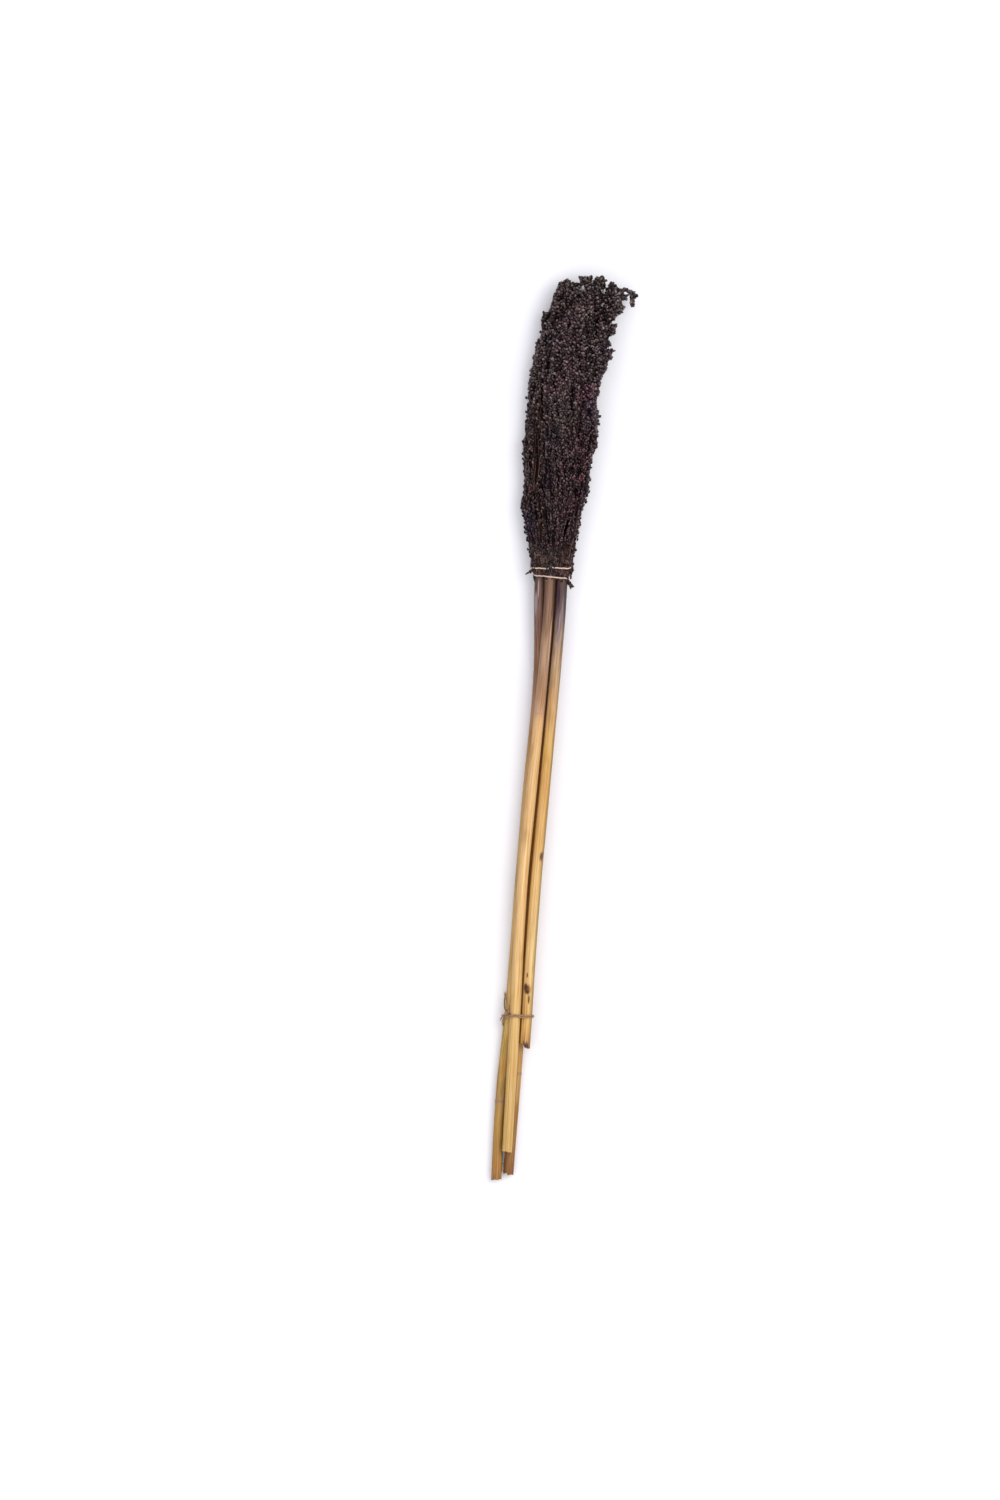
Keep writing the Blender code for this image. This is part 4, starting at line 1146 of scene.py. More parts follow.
# %% Racemes listed one by one
# Each is how bushy it is, from 0 to 1, and the points of its branch in mm, up to where it ends.
LOOSE = {
    "left": [
        (1.0, [(-9, 112, 17), (-8, 128, 19), (-6.6, 141, 18.5)]),
        (1.0, [(-12, 110, 16), (-12.4, 125, 17), (-12, 138.5, 16.5)]),
        (0.7, [(-11, 100, 15), (-13, 116, 15.5), (-14.6, 129, 15)]),
        (0.1, [(-18, 96, 12), (-22.6, 105, 12), (-24.8, 113, 12)]),
        (0.2, [(-19, 92, 13), (-23, 102, 12.6), (-23.6, 111, 12)]),
        (0.2, [(-20, 76, 12), (-25.4, 84, 12), (-27.6, 91, 12)]),
        (0.1, [(-22, 60, 13), (-27.4, 68, 12.6), (-29.4, 76, 12)]),
        (0.2, [(-23, 52, 13), (-29, 59, 13), (-31.4, 67, 12)]),
        (0.1, [(-24, 30, 14), (-29.6, 38, 14), (-31.8, 44.6, 13)]),
        (0.0, [(-13, -78, 13), (-16, -84, 13.4), (-18.6, -90.5, 12.5)]),
        (0.0, [(-12, -80, 11), (-16, -86, 10.6), (-18, -92.5, 10)]),
        (0.0, [(-13, -84, 17), (-15, -89, 18), (-15.6, -96, 17)]),
        (0.0, [(-12, -83, 18), (-13.6, -88, 19.4), (-14.2, -95, 18.4)]),
        (0.0, [(-11, -90, 15), (-14.5, -93.6, 15), (-20.8, -98.8, 13)]),
        (0.0, [(-12, -91, 13), (-15, -94.6, 13), (-20, -98, 11)]),
        (0.0, [(-11, -90, 17), (-13.6, -93.6, 17), (-17.6, -98, 15)]),
    ],
    "top": [
        (1.0, [(3, 112, 27), (3.6, 128, 28), (3.4, 142.5, 27)]),
        (1.0, [(7, 114, 28), (8, 130, 29), (8.4, 144.5, 28)]),
        (0.9, [(-3, 108, 27), (-3.4, 124, 28), (-2.8, 137.5, 26)]),
        (0.0, [(-5.6, -82, 23), (-4.6, -88, 26.4), (-4.2, -95.5, 25.6)]),
        (0.0, [(-3, -81, 23.5), (-2.4, -87.6, 26.8), (-2, -95, 26)]),
        (0.0, [(-1.2, -83, 23.5), (-1.2, -88.4, 26.8), (-0.4, -95.5, 25.8)]),
        (0.0, [(1.4, -83, 22.5), (1.2, -89, 25.5), (1.4, -95, 25)]),
        (0.0, [(1, -85, 22), (-0.6, -91, 24.2), (-0.4, -98, 23)]),
        (0.1, [(9.6, 8, 28), (10, 18, 30.8), (10.8, 30, 31)]),
        (0.1, [(10, 22, 28), (10.4, 32, 31), (11.4, 44, 31.4)]),
        (0.1, [(8, 38, 30), (8.6, 48, 33), (8.4, 60, 33.4)]),
    ],
    "under": [
        (0.9, [(13.6, 112, 21), (15, 130, 21), (15.6, 144.6, 20.5)]),
        (0.9, [(17, 114, 20), (18.4, 132, 20), (19.6, 145.6, 19)]),
        (0.8, [(14, 108, 12), (18, 124, 12), (21.4, 138, 14)]),
    ],
    "right": [
        (1.0, [(22, 112, 24), (25.6, 128, 25), (27, 141.5, 24)]),
        (0.9, [(24, 110, 22), (28, 126, 24), (30.4, 139, 22)]),
        (0.7, [(24, 106, 23), (30, 120, 23), (34, 132.6, 20)]),
        (0.8, [(22, 90, 24), (28.4, 98, 24), (34.6, 107, 22)]),
        (0.8, [(21, 88, 22), (27, 96, 23), (33.4, 102.4, 20)]),
        (0.8, [(19, 82, 22), (25.6, 89, 23), (32.4, 92.4, 21)]),
        (0.7, [(20, 70, 22), (27.6, 79, 23), (34.6, 86.6, 21)]),
        (0.6, [(19, 64, 22), (27, 73, 22), (33, 79.6, 20)]),
        (0.6, [(18, 54, 22), (22.6, 63, 22), (26.4, 71.6, 20)]),
        (0.7, [(17, 42, 22), (21.6, 50, 22), (25.8, 58, 20)]),
        (0.8, [(22, 104, 23), (31, 114, 21), (40.2, 120.6, 17)]),
        (0.8, [(22, 100, 22), (30, 109.5, 20), (37.6, 115.2, 17)]),
        (0.8, [(22, 98, 22), (27.6, 105, 20), (33, 110.4, 17)]),
        (0.5, [(24, 114, 22), (30, 127, 24), (36, 134, 22), (42, 135.6, 19.6)]),
        (0.5, [(26, 116, 23), (32, 126, 23), (37, 131.4, 21), (40, 125, 18.6)]),
        (0.45, [(30, 124, 23), (35, 131.4, 22), (41, 133.6, 20), (46.4, 131.8, 17), (51, 130, 15)]),
        (0.4, [(40, 133, 20.6), (44.4, 131, 18), (45.4, 126.4, 15.4), (45.4, 120, 13.4)]),
        (0.4, [(40, 133.4, 19), (43.2, 131.4, 18), (43.8, 127, 16.4), (44.2, 121, 15)]),
        (0.4, [(32, 128, 23), (37.4, 133, 21.6), (42, 133.2, 19.6), (44.4, 130, 18)]),
        (0.3, [(34, 130, 22.6), (39.4, 134.4, 20.6), (43.6, 133.6, 18.8), (47, 131, 17)]),
        (0.5, [(24, 112, 23), (30, 122, 23), (34.6, 127.6, 21), (38.6, 129.6, 19)]),
        (0.1, [(18, 26, 20), (22.6, 31, 20), (26, 37.4, 18)]),
        (0.1, [(18, 21, 20), (23, 26, 20), (27, 34, 18)]),
        (0.1, [(18, 16, 20), (23, 22, 20), (26.6, 29, 18)]),
        (0.1, [(18, 8, 20), (23, 14, 20), (26.8, 21, 18)]),
        (0.1, [(18, 4, 20), (23, 10, 20), (27.6, 17, 17.6)]),
        (0.1, [(18, 0, 20), (23, 6, 20), (27.6, 12.4, 17.6)]),
        (0.1, [(17, -20, 19), (21, -14, 19), (24, -7.6, 17.6)]),
        (0.1, [(17, -30, 19), (21.4, -23, 19), (24.2, -16, 17.6)]),
        (0.1, [(16, -38, 19), (21, -31, 19), (24.2, -24, 17.6)]),
        (0.1, [(15, -48, 19), (19, -41, 19), (22.4, -33.6, 17.6)]),
        (0.0, [(11.5, -80, 18), (15, -86, 19), (17, -94, 18)]),
        (0.0, [(12, -82, 16), (15.4, -87, 16), (17.4, -93, 15)]),
        (0.0, [(12, -84, 21), (15, -89, 20.6), (15.8, -96, 18.6)]),
        (0.0, [(11, -96, 19), (13.4, -100, 19), (17.4, -106.4, 17)]),
        (0.0, [(12, -88, 19), (14.6, -94, 20), (15.6, -100, 18)]),
        (0.0, [(11, -97, 20), (13.6, -101, 20), (18.4, -105.6, 17.4)]),
        (0.0, [(11, -97, 18), (13.4, -101.6, 18), (16.4, -107.6, 16)]),
    ],
}

print("placed by hand:", {name: len(rows) for name, rows in LOOSE.items()}, "racemes")

# %% [markdown]
# Each of these rows of points becomes a smooth line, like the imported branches. A line set with
# seeds is still only a spike: a bushy one gets side branchlets too, all round it, a golden angle
# from one to the next, and they make a lobe of it.

# %% Loose branches and their branchlets
# The share of a branch's length where each side branchlet leaves it.
BRANCHLETS = (0.42, 0.6, 0.76, 0.9, 0.95, 1.0)
BRANCHLET_LENGTH = 5 * MM


def loose_lines(name):
    """The listed branches as lines of even steps: a smooth curve through each one's points.
    A branch stops short of its last point by what its seeds stick out, which grows with its bush."""
    lines = []
    for bush, route in LOOSE[name]:
        route = np.array(route, float) * MM
        length = run_length(route)
        end = length[-1] - (2 + 3.6 * bush) * MM
        lines.append(smooth(length, route, np.linspace(0, end, BRANCH_STEPS)))
    return pushed_in(np.array(lines)), np.array([bush for bush, _ in LOOSE[name]])


def branchlets(lines, ripe):
    """Side branchlets of the loose branches. One leaves at each of the shares BRANCHLETS, a golden
    angle round from the last: base + length * (0.9 * ahead * s + 0.8 * away * sin(s pi / 2))."""
    share = np.broadcast_to(BRANCHLETS, (len(lines), len(BRANCHLETS)))
    base, ahead = place_on(lines, share)
    out = unit(np.cross(ahead, (0.3, 0.1, 1)))
    turn = rng.uniform(0, 2 * math.pi, (len(lines), 1)) + np.arange(len(BRANCHLETS)) * GOLDEN_ANGLE
    away = out * np.cos(turn)[..., None] + np.cross(ahead, out) * np.sin(turn)[..., None]
    length = BRANCHLET_LENGTH * ripe[:, None] * rng.uniform(0.7, 1.15, turn.shape)
    s = np.linspace(0, 1, BRANCH_STEPS)[:, None]
    path = ahead[:, :, None] * s * 0.9 + 0.8 * away[:, :, None] * np.sin(s * math.pi / 2)
    path = base[:, :, None] + length[..., None, None] * path
    return pushed_in(path.reshape(-1, BRANCH_STEPS, 3)), np.repeat(ripe, len(BRANCHLETS))


print("branchlets:", len(BRANCHLETS), "to a bushy branch, about", round(BRANCHLET_LENGTH / MM), "mm long")

# %% [markdown]
# The neck has racemes of its own: short ones that lie over the lowest branches, some of them
# caught by the tie so that they hang. And up the two outer sides goes a row of single seeds that
# lean out a little past the outline, for the fine teeth that a head shows against a pale ground.

# %% Racemes of the neck, and teeth up the sides
NECK_RACEMES = 84
NECK_RACEME = 7 * MM
HANGING_SHARE = 0.3
TOOTH_STEP = 1.5 * MM
# How far the tips of the teeth stand past the outline, from and to, in mm.
TOOTH = (-0.5, 1.3)
# The outer sides: outline, which way is out, and where the teeth end.
EDGES = {"left": (OUTLINE_LEFT, -1, 98 * MM), "right": (OUTLINE_RIGHT, 1, 38 * MM)}


def neck_racemes(name):
    """Short lines that lie on the neck, over the lowest branches: most rise, and some of those that
    the tie has caught hang down."""
    a = rng.uniform(0, 2 * math.pi, (NECK_RACEMES, 1))
    tip = rng.uniform(-98, -74, (NECK_RACEMES, 1)) * MM
    hangs = (rng.random((NECK_RACEMES, 1)) < HANGING_SHARE) * ramp(tip, -90 * MM, -94 * MM)
    s = np.linspace(0, 1, BRANCH_STEPS)
    y = tip - NECK_RACEME * (1 - s) * (1 - 2 * hangs)
    turned = a + rng.uniform(-0.4, 0.4, (NECK_RACEMES, 1)) * s
    lines = pushed_in(neck_surface(name, y, turned, (0.5 - 1.1 * s) * MM))
    outward = outwards(a[:, 0])
    seen = in_the_open(name, lines, outward)
    return lines[seen], outward[seen]


def teeth(name, edge, side, end):
    """Seeds in a row up a head's outer edge. They lean out, and their tips stand past the outline by
    an amount within TOOTH, in mm."""
    middle, _ = heads[name]
    y = np.arange(-86 * MM, end, TOOTH_STEP)
    y = y + rng.uniform(-0.8, 0.8, len(y)) * MM
    line = np.array(sorted(edge, key=lambda point: point[1])) * MM
    x = np.interp(y, line[:, 1], line[:, 0]) + side * rng.uniform(*TOOTH, len(y)) * MM
    z = np.interp(y, STATIONS[: len(middle)], middle[:, 1]) + rng.uniform(-3, 3, len(y)) * MM
    lean = np.radians(rng.uniform(12, 62, len(y)))
    towards = unit(np.stack([side * np.sin(lean), np.cos(lean), rng.uniform(-0.2, 0.4, len(y))], axis=-1))
    size = seed_sizes(ripeness(y), 1.1, 1.1) * MM
    base = np.stack([x, y, z], axis=-1) - towards * size[:, 2:]
    flat = unit(np.cross(towards, (0.1, 0.2, 1)))
    foot = base - np.array([side, 1, 0]) * 1.2 * MM
    return [base, towards, flat, size, foot]


print("teeth:", {name: round((end + 86 * MM) / TOOTH_STEP) for name, (_, _, end) in EDGES.items()})

# %% [markdown]
# Seeds lean out from their branches, so some would stick out of the outline. Such a seed is pushed
# in, and leans out a little more or less than before, because an edge of seeds all alike would
# look trimmed. It is left out if the push takes too much, or if it would close a clear spot.

# %% Fit seeds into the outline
# The furthest that a seed may be pushed, how much it leans out then, and the raggedness.
PUSH = 4 * MM
SPREAD = 0.9
RAGGED = 0.35 * MM
# Where a seed is held inside the outline: share of its length, and the margin there.
MARGINS = ((1, 0.1 * MM), (0.2, 0.7 * MM), (0.5, 1 * MM), (1, 0.1 * MM))


def clear_of_holes(places, margin):
    """True for each row of places (n, m, 3) that keeps out of all the clear spots by a margin."""
    away = np.linalg.norm(places[:, :, None, :2] - CLEAR[:, :2], axis=3)
    return (away > CLEAR[:, 2] + margin).all(axis=(1, 2))


def fitted_in(seed):
    """The seeds with those that stick out of the outline pushed in by as much, and True for each
    that is kept: pushed by less than PUSH, and with its middle and tip clear of the holes."""
    base, towards, side, size, foot = seed
    start = base
    inward = way_in(base, 2 * MM)
    spread = (np.linalg.norm(inward, axis=1) > 0) * rng.uniform(-0.2, SPREAD, len(base))
    towards = unit(towards - unit(inward) * spread[:, None])
    side = unit(side - towards * (side * towards).sum(axis=1, keepdims=True))
    loose = rng.normal(0, RAGGED, len(base))
    for part, margin in MARGINS:
        base = base + way_in(base + towards * size[:, 2:] * part, margin - loose)
    step = base - start
    ends = np.stack([base + towards * size[:, 2:] * part for part in (0.45, 0.9)], axis=1)
    kept = (np.linalg.norm(step, axis=1) < PUSH) & clear_of_holes(ends, 0.7 * MM)
    return [base, towards, side, size, foot + step], kept


print("a seed is pushed by less than", round(PUSH / MM), "mm")

# %% [markdown]
# A head's seeds are set in this order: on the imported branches, the loose racemes, their branchlets
# and the neck. Then they are fitted in, and on a few bare strips half of them have come off, as
# they do on a real head, and the branches show. The teeth come last, as they are to stick out.

# %% All the seeds of a head
LOOSE_SEEDS, LOOSE_RACEME = 14, 13 * MM
BRANCHLET_SEEDS = 8
NECK_SEEDS = 7
# A loose raceme has seeds all round, also inwards, and branchlets if it is at least this bushy.
ALL_ROUND = -1.1
BUSHY = 0.3
UPWARDS = (0.2, 0, 1.0)
# The bare strips: x, y, half width, half length.
BARE = np.array([(-20.5, 2, 3.6, 40), (-12, -58, 2.4, 13), (-1, -74, 5, 13), (8, -84, 8, 8)]) * MM


def joined(*sets):
    """Several sets of seeds as one."""
    return [np.concatenate(arrays) for arrays in zip(*sets)]


def dressed(name):
    """All the seeds of a head, and the lines of all its branches."""
    lines, outward = packed_branches[name]
    ripe = ripeness(lines[:, -1, 1])
    packed = set_seeds(lines, outward, ripe, (14 - 5 * ripe) * MM)
    loose, bush = loose_lines(name)
    up = np.broadcast_to(UPWARDS, (len(loose), 3))
    free = set_seeds(loose, up, bush, LOOSE_RACEME, LOOSE_SEEDS, ALL_ROUND)
    twigs, bush = branchlets(loose[bush >= BUSHY], bush[bush >= BUSHY])
    up = np.broadcast_to(UPWARDS, (len(twigs), 3))
    more = set_seeds(twigs, up, bush, BRANCHLET_LENGTH, BRANCHLET_SEEDS, ALL_ROUND)
    low, up = neck_racemes(name)
    at_neck = set_seeds(low, up, np.zeros(len(low)), NECK_RACEME, NECK_SEEDS)
    panicle, kept = fitted_in(joined(packed, free, more, at_neck))
    off = np.linalg.norm((panicle[0][:, None, :2] - BARE[:, :2]) / BARE[:, 2:], axis=2).min(axis=1)
    kept &= (off > 1) | (rng.random(len(off)) < 0.5)
    panicle = [array[kept] for array in panicle]
    if name in EDGES:
        panicle = joined(panicle, teeth(name, *EDGES[name]))
    lines = np.concatenate([lines, loose, twigs, low])
    return panicle, lines[clear_of_holes(lines, 0.3 * MM)]


panicles = {name: dressed(name) for name in NAMES}
for name, (panicle, lines) in panicles.items():
    print(f"head {name}: {len(panicle[0])} seeds on {len(lines)} branches")

# %% [markdown]
# ## The finish of the heads
#
# The seed and its glumes are hard and a little shiny, dyed with a black that is really a dark
# purple brown. It takes unevenly: some seeds stay redder, olive or bluish, and the dye rubs off
# the points, whose paler tips are also painted highlights; seeds low on the head get painted shade.
# Each seed has its own tone in an attribute, and patches a couple of centimetres wide come from a
# noise in the object's space. The core is the shaded inside: matt and darker.

# %% Tints, and lumps of painted light and shade
# How dark and how light the lumps of painted shade and light are, low on a head and in its crown,
# where they are separate, and the heights between which the one goes over into the other.
LUMP_SHADING = (0.58, 1.38)
CROWN_LUMP_SHADING = (0.36, 1.44)
CROWN = (50 * MM, 100 * MM)
LUMP_SIZE = (4.348, 6.667, 4.348)
TINT_EDGE = (5.556, 11.111, 5.556)
# Where the dye took differently: x, y, half width, half length in mm, and what the red, green and
# blue are multiplied by.
TINTS = [
    (-20.5, 2, 6, 44, (1.24, 1.04, 0.84)), (-22, -63, 5, 17, (0.6, 0.66, 1.1)),
    (-12, -56, 3, 13, (1.1, 1.0, 0.62)), (14, 50, 7, 9, (1.12, 0.66, 1.0)),
    (19, 40, 4, 7, (0.75, 0.72, 1.15)), (17, 140, 6, 5, (0.88, 0.98, 0.76)),
    (28, 118, 5, 11, (1.12, 0.84, 0.84)), (-11, 118, 6, 16, (1.06, 0.94, 0.84)),
    (8, -14, 13, 50, (0.98, 0.66, 0.8)), (2, 66, 12, 18, (1.08, 0.92, 0.98)),
    (-23, 48, 3, 8, (1.0, 0.96, 0.66)), (2, -84, 17, 14, (1.02, 1.12, 1.1)),
    (12, -78, 5, 14, (1.05, 0.9, 0.9)), (-9, -20, 5, 12, (0.86, 0.78, 1.06)),
    (16, 4, 8, 30, (1.0, 0.74, 0.84)), (20, 112, 6, 14, (1.05, 0.84, 0.9)),
    (-12, 90, 6, 14, (1.06, 0.9, 0.98)), (8, 128, 30, 34, (0.84, 0.84, 0.8)),
    (37, 131, 13, 10, (1.02, 1.2, 1.14)), (27, 137, 7, 6, (1.0, 1.16, 1.14)),
]


def tinted(tree, place, colour):
    """A colour multiplied by the tints, and by lumps of painted light and shade the size of a raceme."""
    rough = noise_on(tree, place, TINT_EDGE)
    for x, y, width, length, tint in TINTS:
        spot = spot_on(tree, place, rough, (x * MM, y * MM, 0), (width * MM, length * MM, 0))
        colour = add(tree, "Mix", {0: spot, 6: colour, 7: (*tint, 1)}, 2, **TIMES)
    y = add(tree, "SeparateXYZ", (place,), "Y")
    ends = [add(tree, "MapRange", (y, *CROWN, *pair), **SMOOTH) for pair in zip(LUMP_SHADING, CROWN_LUMP_SHADING)]
    lumps = add(tree, "MapRange", (noise_on(tree, place, LUMP_SIZE), 0.36, 0.64, *ends), **SMOOTH)
    return add(tree, "VectorMath", {0: colour, "Scale": lumps}, operation="SCALE")


print("tints:", len(TINTS))

# %% Dyed seed, dyed branch and core
SEED_TONES = [(0.0, "#110709"), (0.3, "#201114"), (0.6, "#332125"), (0.84, "#524042"), (1.0, "#80716e")]
# Patches of another hue: colour, size in mm and the noise above which they show.
PATCHES = [("#40202a", 30, 0.5), ("#302a20", 34, 0.52), ("#262034", 26, 0.56)]
# The first colour darkens the seeds low on the head as painted shade; the second pales their tips, as rubbed
# dye and a painted highlight.
LOW_SHADE = "#cfb6b8"
TIP_WEAR_AND_HIGHLIGHT, TIP_WEAR_AND_HIGHLIGHT_SHARE = "#8f8280", 0.62
# A glume's own grain is finer than this: it is drawn as coarse as it has to be to show close up.
GRIT = (0.4, 0.4, 0.4)
BRANCH_TONES = [(0.0, "#1c1114"), (0.7, "#3a282a"), (1.0, "#66504a")]
NECK_TONES = [(0.0, "#2a1b19"), (0.6, "#52413a"), (1.0, "#857666")]
# The core's near black is painted shade: the deep inside of the head.
CORE_SHADE = "#170f12"
CORE_NECK = [(0.3, "#2b1c1a"), (0.5, "#5e4038"), (0.72, "#8a6a58")]
CORE_STREAKS = (0.7143, 14.286, 0.7143)


def seed_finish():
    """Hard dyed glumes: a tone for each seed, patches of hue, painted shade low on the head, and paler points
    of rubbed dye with a painted highlight.
    """
    made, tree, surface = new_finish("dyed_sorghum_seed", 0.5, 0.16)
    tone, along = (add(tree, "Attribute", (), "Fac", attribute_name=key) for key in ("tone", "along"))
    place = add(tree, "TexCoord", (), "Object")
    colour = add(tree, "ValToRGB", (tone,), stops=SEED_TONES)
    for k, (code, size, least) in enumerate(PATCHES):
        patch = noise_on(tree, place, (size,) * 3, (7.3 * k, 2.9 * k, 5.1 * k), 1.0)
        colour = laid(tree, colour, code, patch, least, least + 0.25, 0.45)
    # Painted shade: the seeds are darker low on the head.
    darker = add(tree, "Mix", {0: 1.0, 6: colour, 7: LOW_SHADE}, 2, **TIMES)
    y = add(tree, "SeparateXYZ", (place,), "Y")
    colour = tinted(tree, place, laid(tree, darker, colour, y, -50 * MM, 70 * MM))
    # The seed tips are paler: rubbed dye, and a painted highlight.
    tip_wear_and_highlight = add(tree, "MapRange", (along, 0.45, 0.95, 0.0, TIP_WEAR_AND_HIGHLIGHT_SHARE), **SMOOTH)
    tip_wear_and_highlight = add(tree, "Math", (tip_wear_and_highlight, tone), operation="MULTIPLY")
    colour = add(tree, "Mix", {0: tip_wear_and_highlight, 6: colour, 7: TIP_WEAR_AND_HIGHLIGHT}, 2, **COLOUR)
    grit = noise_on(tree, place, GRIT)
    gloss = add(tree, "MapRange", (grit, 0.3, 0.7, 0.42, 0.6), **SMOOTH)
    bump = add(tree, "Bump", {"Height": grit, "Distance": 0.08 * MM, "Strength": 0.5})
    feed(tree, surface, {"Base Color": colour, "Roughness": gloss, "Normal": bump})
    return made


def branch_finish():
    """Dyed branch: dull fibre, brown near the neck and darker where it goes into the head."""
    made, tree, surface = new_finish("dyed_branch_fibre", 0.8, 0.1)
    tone = add(tree, "Attribute", (), "Fac", attribute_name="tone")
    place = add(tree, "TexCoord", (), "Object")
    dark, brown = (add(tree, "ValToRGB", (tone,), stops=tones) for tones in (BRANCH_TONES, NECK_TONES))
    y = add(tree, "SeparateXYZ", (place,), "Y")
    colour = laid(tree, brown, dark, y, -94 * MM, -66 * MM)
    feed(tree, surface, {"Base Color": tinted(tree, place, colour)})
    return made


def core_finish():
    """The shaded inside: near black, and streaked brown at the bare neck."""
    made, tree, surface = new_finish("shaded_panicle_core", 0.95, 0.05)
    place = add(tree, "TexCoord", (), "Object")
    neck = add(tree, "ValToRGB", (noise_on(tree, place, CORE_STREAKS),), stops=CORE_NECK)
    y = add(tree, "SeparateXYZ", (place,), "Y")
    feed(tree, surface, {"Base Color": laid(tree, neck, CORE_SHADE, y, -91 * MM, -70 * MM)})
    return made


SEED_FINISH, BRANCH_FINISH, CORE_FINISH = seed_finish(), branch_finish(), core_finish()
print("finishes:", SEED_FINISH.name, BRANCH_FINISH.name, CORE_FINISH.name)

# %% [markdown]
# Just above the tie the lowest branches leave the stalk and nothing covers them yet: they show as
# brown strands, side by side, that hug the cane and then the head. Each starts a little lower or
# higher than the next, so that the cane runs into the head with no edge.

# %% Strands over the neck
STRANDS = 30
STRAND_STEPS = 12
STRAND_RADIUS = 0.42 * MM


def strand_lines(name):
    """Lines from the cane up over the neck, that end sunk into the head."""
    a = (np.arange(STRANDS) + rng.uniform(-0.35, 0.35, STRANDS)) * 2 * math.pi / STRANDS
    s = np.linspace(0, 1, STRAND_STEPS)
    low, high = rng.uniform(-99.5, -95.5, (STRANDS, 1)), rng.uniform(-84, -66, (STRANDS, 1))
    y = (low + (high - low) * s) * MM
    a = a[:, None] + rng.uniform(-0.2, 0.2, (STRANDS, 1)) * s
    sunk = rng.uniform(-0.7, 2.4, (STRANDS, 1)) * MM
    return neck_surface(name, y, a, STRAND_RADIUS * 0.4 + sunk * ramp(s, 0.2, 1))


strands = {name: strand_lines(name) for name in NAMES}
print("strands:", sum(len(lines) for lines in strands.values()))

# %% The pieces of each head
# A branch's radius at its foot in mm, and how much it thins towards its tip.
BRANCH_RADIUS, BRANCH_THINS = 0.5, 0.22
BRANCH_SIDES = 5
STALKLET_RADIUS = 0.16 * MM
STALKLET_SIDES = 3
# Seeds further than this from their branch have a stalklet that shows.
STALKLET_SHOWS = 0.8 * MM
# A direction that no branch follows.
BESIDE = (1, 0, 0.3)

for name in NAMES:
    (base, towards, side, size, foot), lines = panicles[name]
    thick = (BRANCH_RADIUS - BRANCH_THINS * np.linspace(0, 1, BRANCH_STEPS)) * MM
    thick = thick * rng.uniform(0.8, 1.2, (len(lines), 1))
    new_piece(f"seeds_{name}", seeds(base, towards, side, size), SEED_FINISH, [f"head_{name}"])
    far = np.linalg.norm(base - foot, axis=1) > STALKLET_SHOWS
    stalklets = np.stack([foot, base], axis=1)[far]
    stalklets = tubes(stalklets, np.full(stalklets.shape[:2], STALKLET_RADIUS), STALKLET_SIDES, BESIDE)
    twigs = tubes(lines, thick, BRANCH_SIDES, BESIDE)
    thick = STRAND_RADIUS * rng.uniform(0.7, 1.2, (STRANDS, 1)) * np.sin(np.linspace(0.25, 2.6, STRAND_STEPS))
    neck = tubes(strands[name], thick, BRANCH_SIDES, BESIDE)
    new_piece(f"branches_{name}", merged(twigs, stalklets, neck), BRANCH_FINISH)
    new_piece(f"core_{name}", core_shape(name), CORE_FINISH)

# %% [markdown]
# ## The ties
#
# Each tie is thin twine: three plies of bast fibre twisted round each other, pulled taut. A taut
# cord takes the shortest way round what it holds, so its place in each outward direction is the
# point of the stalks that lies furthest that way.

# %% A taut turn
# The twine's radius, and the room that it leaves for the ribs and the waver of the stalks.
TWINE_RADIUS = 0.54 * MM
TWINE_SEAM = 0.3 * MM
# For each tie: y and slant of its two turns in mm, the angle where it starts, the step from there
# to the knot, and its loose ends as steps from the knot in mm.
TIES = {
    "neck": (
        [(-99.2, -0.3), (-92.0, 1.8)], -60, (0, 0, 0),
        [[(1.5, -4, -0.4), (2.5, -9, -0.8)], [(2.4, 4, -0.2), (4.4, 8, -0.8)]],
    ),
    "foot": (
        [(-451.7, 0.8), (-450.4, 0.8)], 150, (4.8, 2.6, 5.0),
        [
            [(-1.0, 2.5, 0.2), (-3.2, 9, -3.2), (-4.9, 16, -5.6)],
            [(-3.6, 3.4, -2.6), (-4.6, 9, -4.6), (-4.4, 15, -5.4)],
            [(-3.0, -2, -1.4), (-4.6, -5.8, -4.8), (-4.0, -10, -6.4)],
            [(-4.4, -1.6, -3), (-6.4, -5.4, -6.2)],
        ],
    ),
}


def circles_at(y):
    """Middle and radius of every stalk at y: the canes, or past the neck the heads."""
    if y < NECK_Y:
        return np.array([smooth(*canes[name], y) for name in NAMES if canes[name][0][0] < y])
    circles = []
    for middle, reach in heads.values():
        values = np.column_stack([middle, reach.mean(axis=1)])
        circles.append(smooth(STATIONS[: len(middle)], values, y))
    return np.array(circles)


def taut(turn, angle):
    """A turn's points: for an outward angle, the circle point furthest that way, and the twine's
    radius beyond it. The turn slants by its second value towards the right."""
    y, slant = np.array(turn) * MM
    out = np.stack([np.cos(angle), np.sin(angle)], axis=-1)
    circles = circles_at(y)
    nearest = circles[(circles[:, :2] @ out.T + circles[:, 2:]).argmax(axis=0)]
    flat = nearest[:, :2] + out * (nearest[:, 2:] + TWINE_SEAM + TWINE_RADIUS)
    return np.stack([flat[:, 0], y + slant * out[:, 0], flat[:, 1]], axis=-1)


print("stalks held:", {name: len(circles_at(turns[0][0] * MM)) for name, (turns, *_) in TIES.items()})

# %% [markdown]
# The twine leaves the knot, goes round once, crosses over to the second turn, goes round again and
# comes back on top of itself to the knot. Where it lies on itself it is lifted by about its own
# thickness, and a small wobble keeps it from looking machined.

# %% The way of the twine
TWINE_STEP = 0.4 * MM
# The angle over which it crosses from turn to turn, its lift on itself, and its unevenness.
CROSSING = math.radians(60)
LIFT = 0.95 * MM
WOBBLE = 0.22 * MM


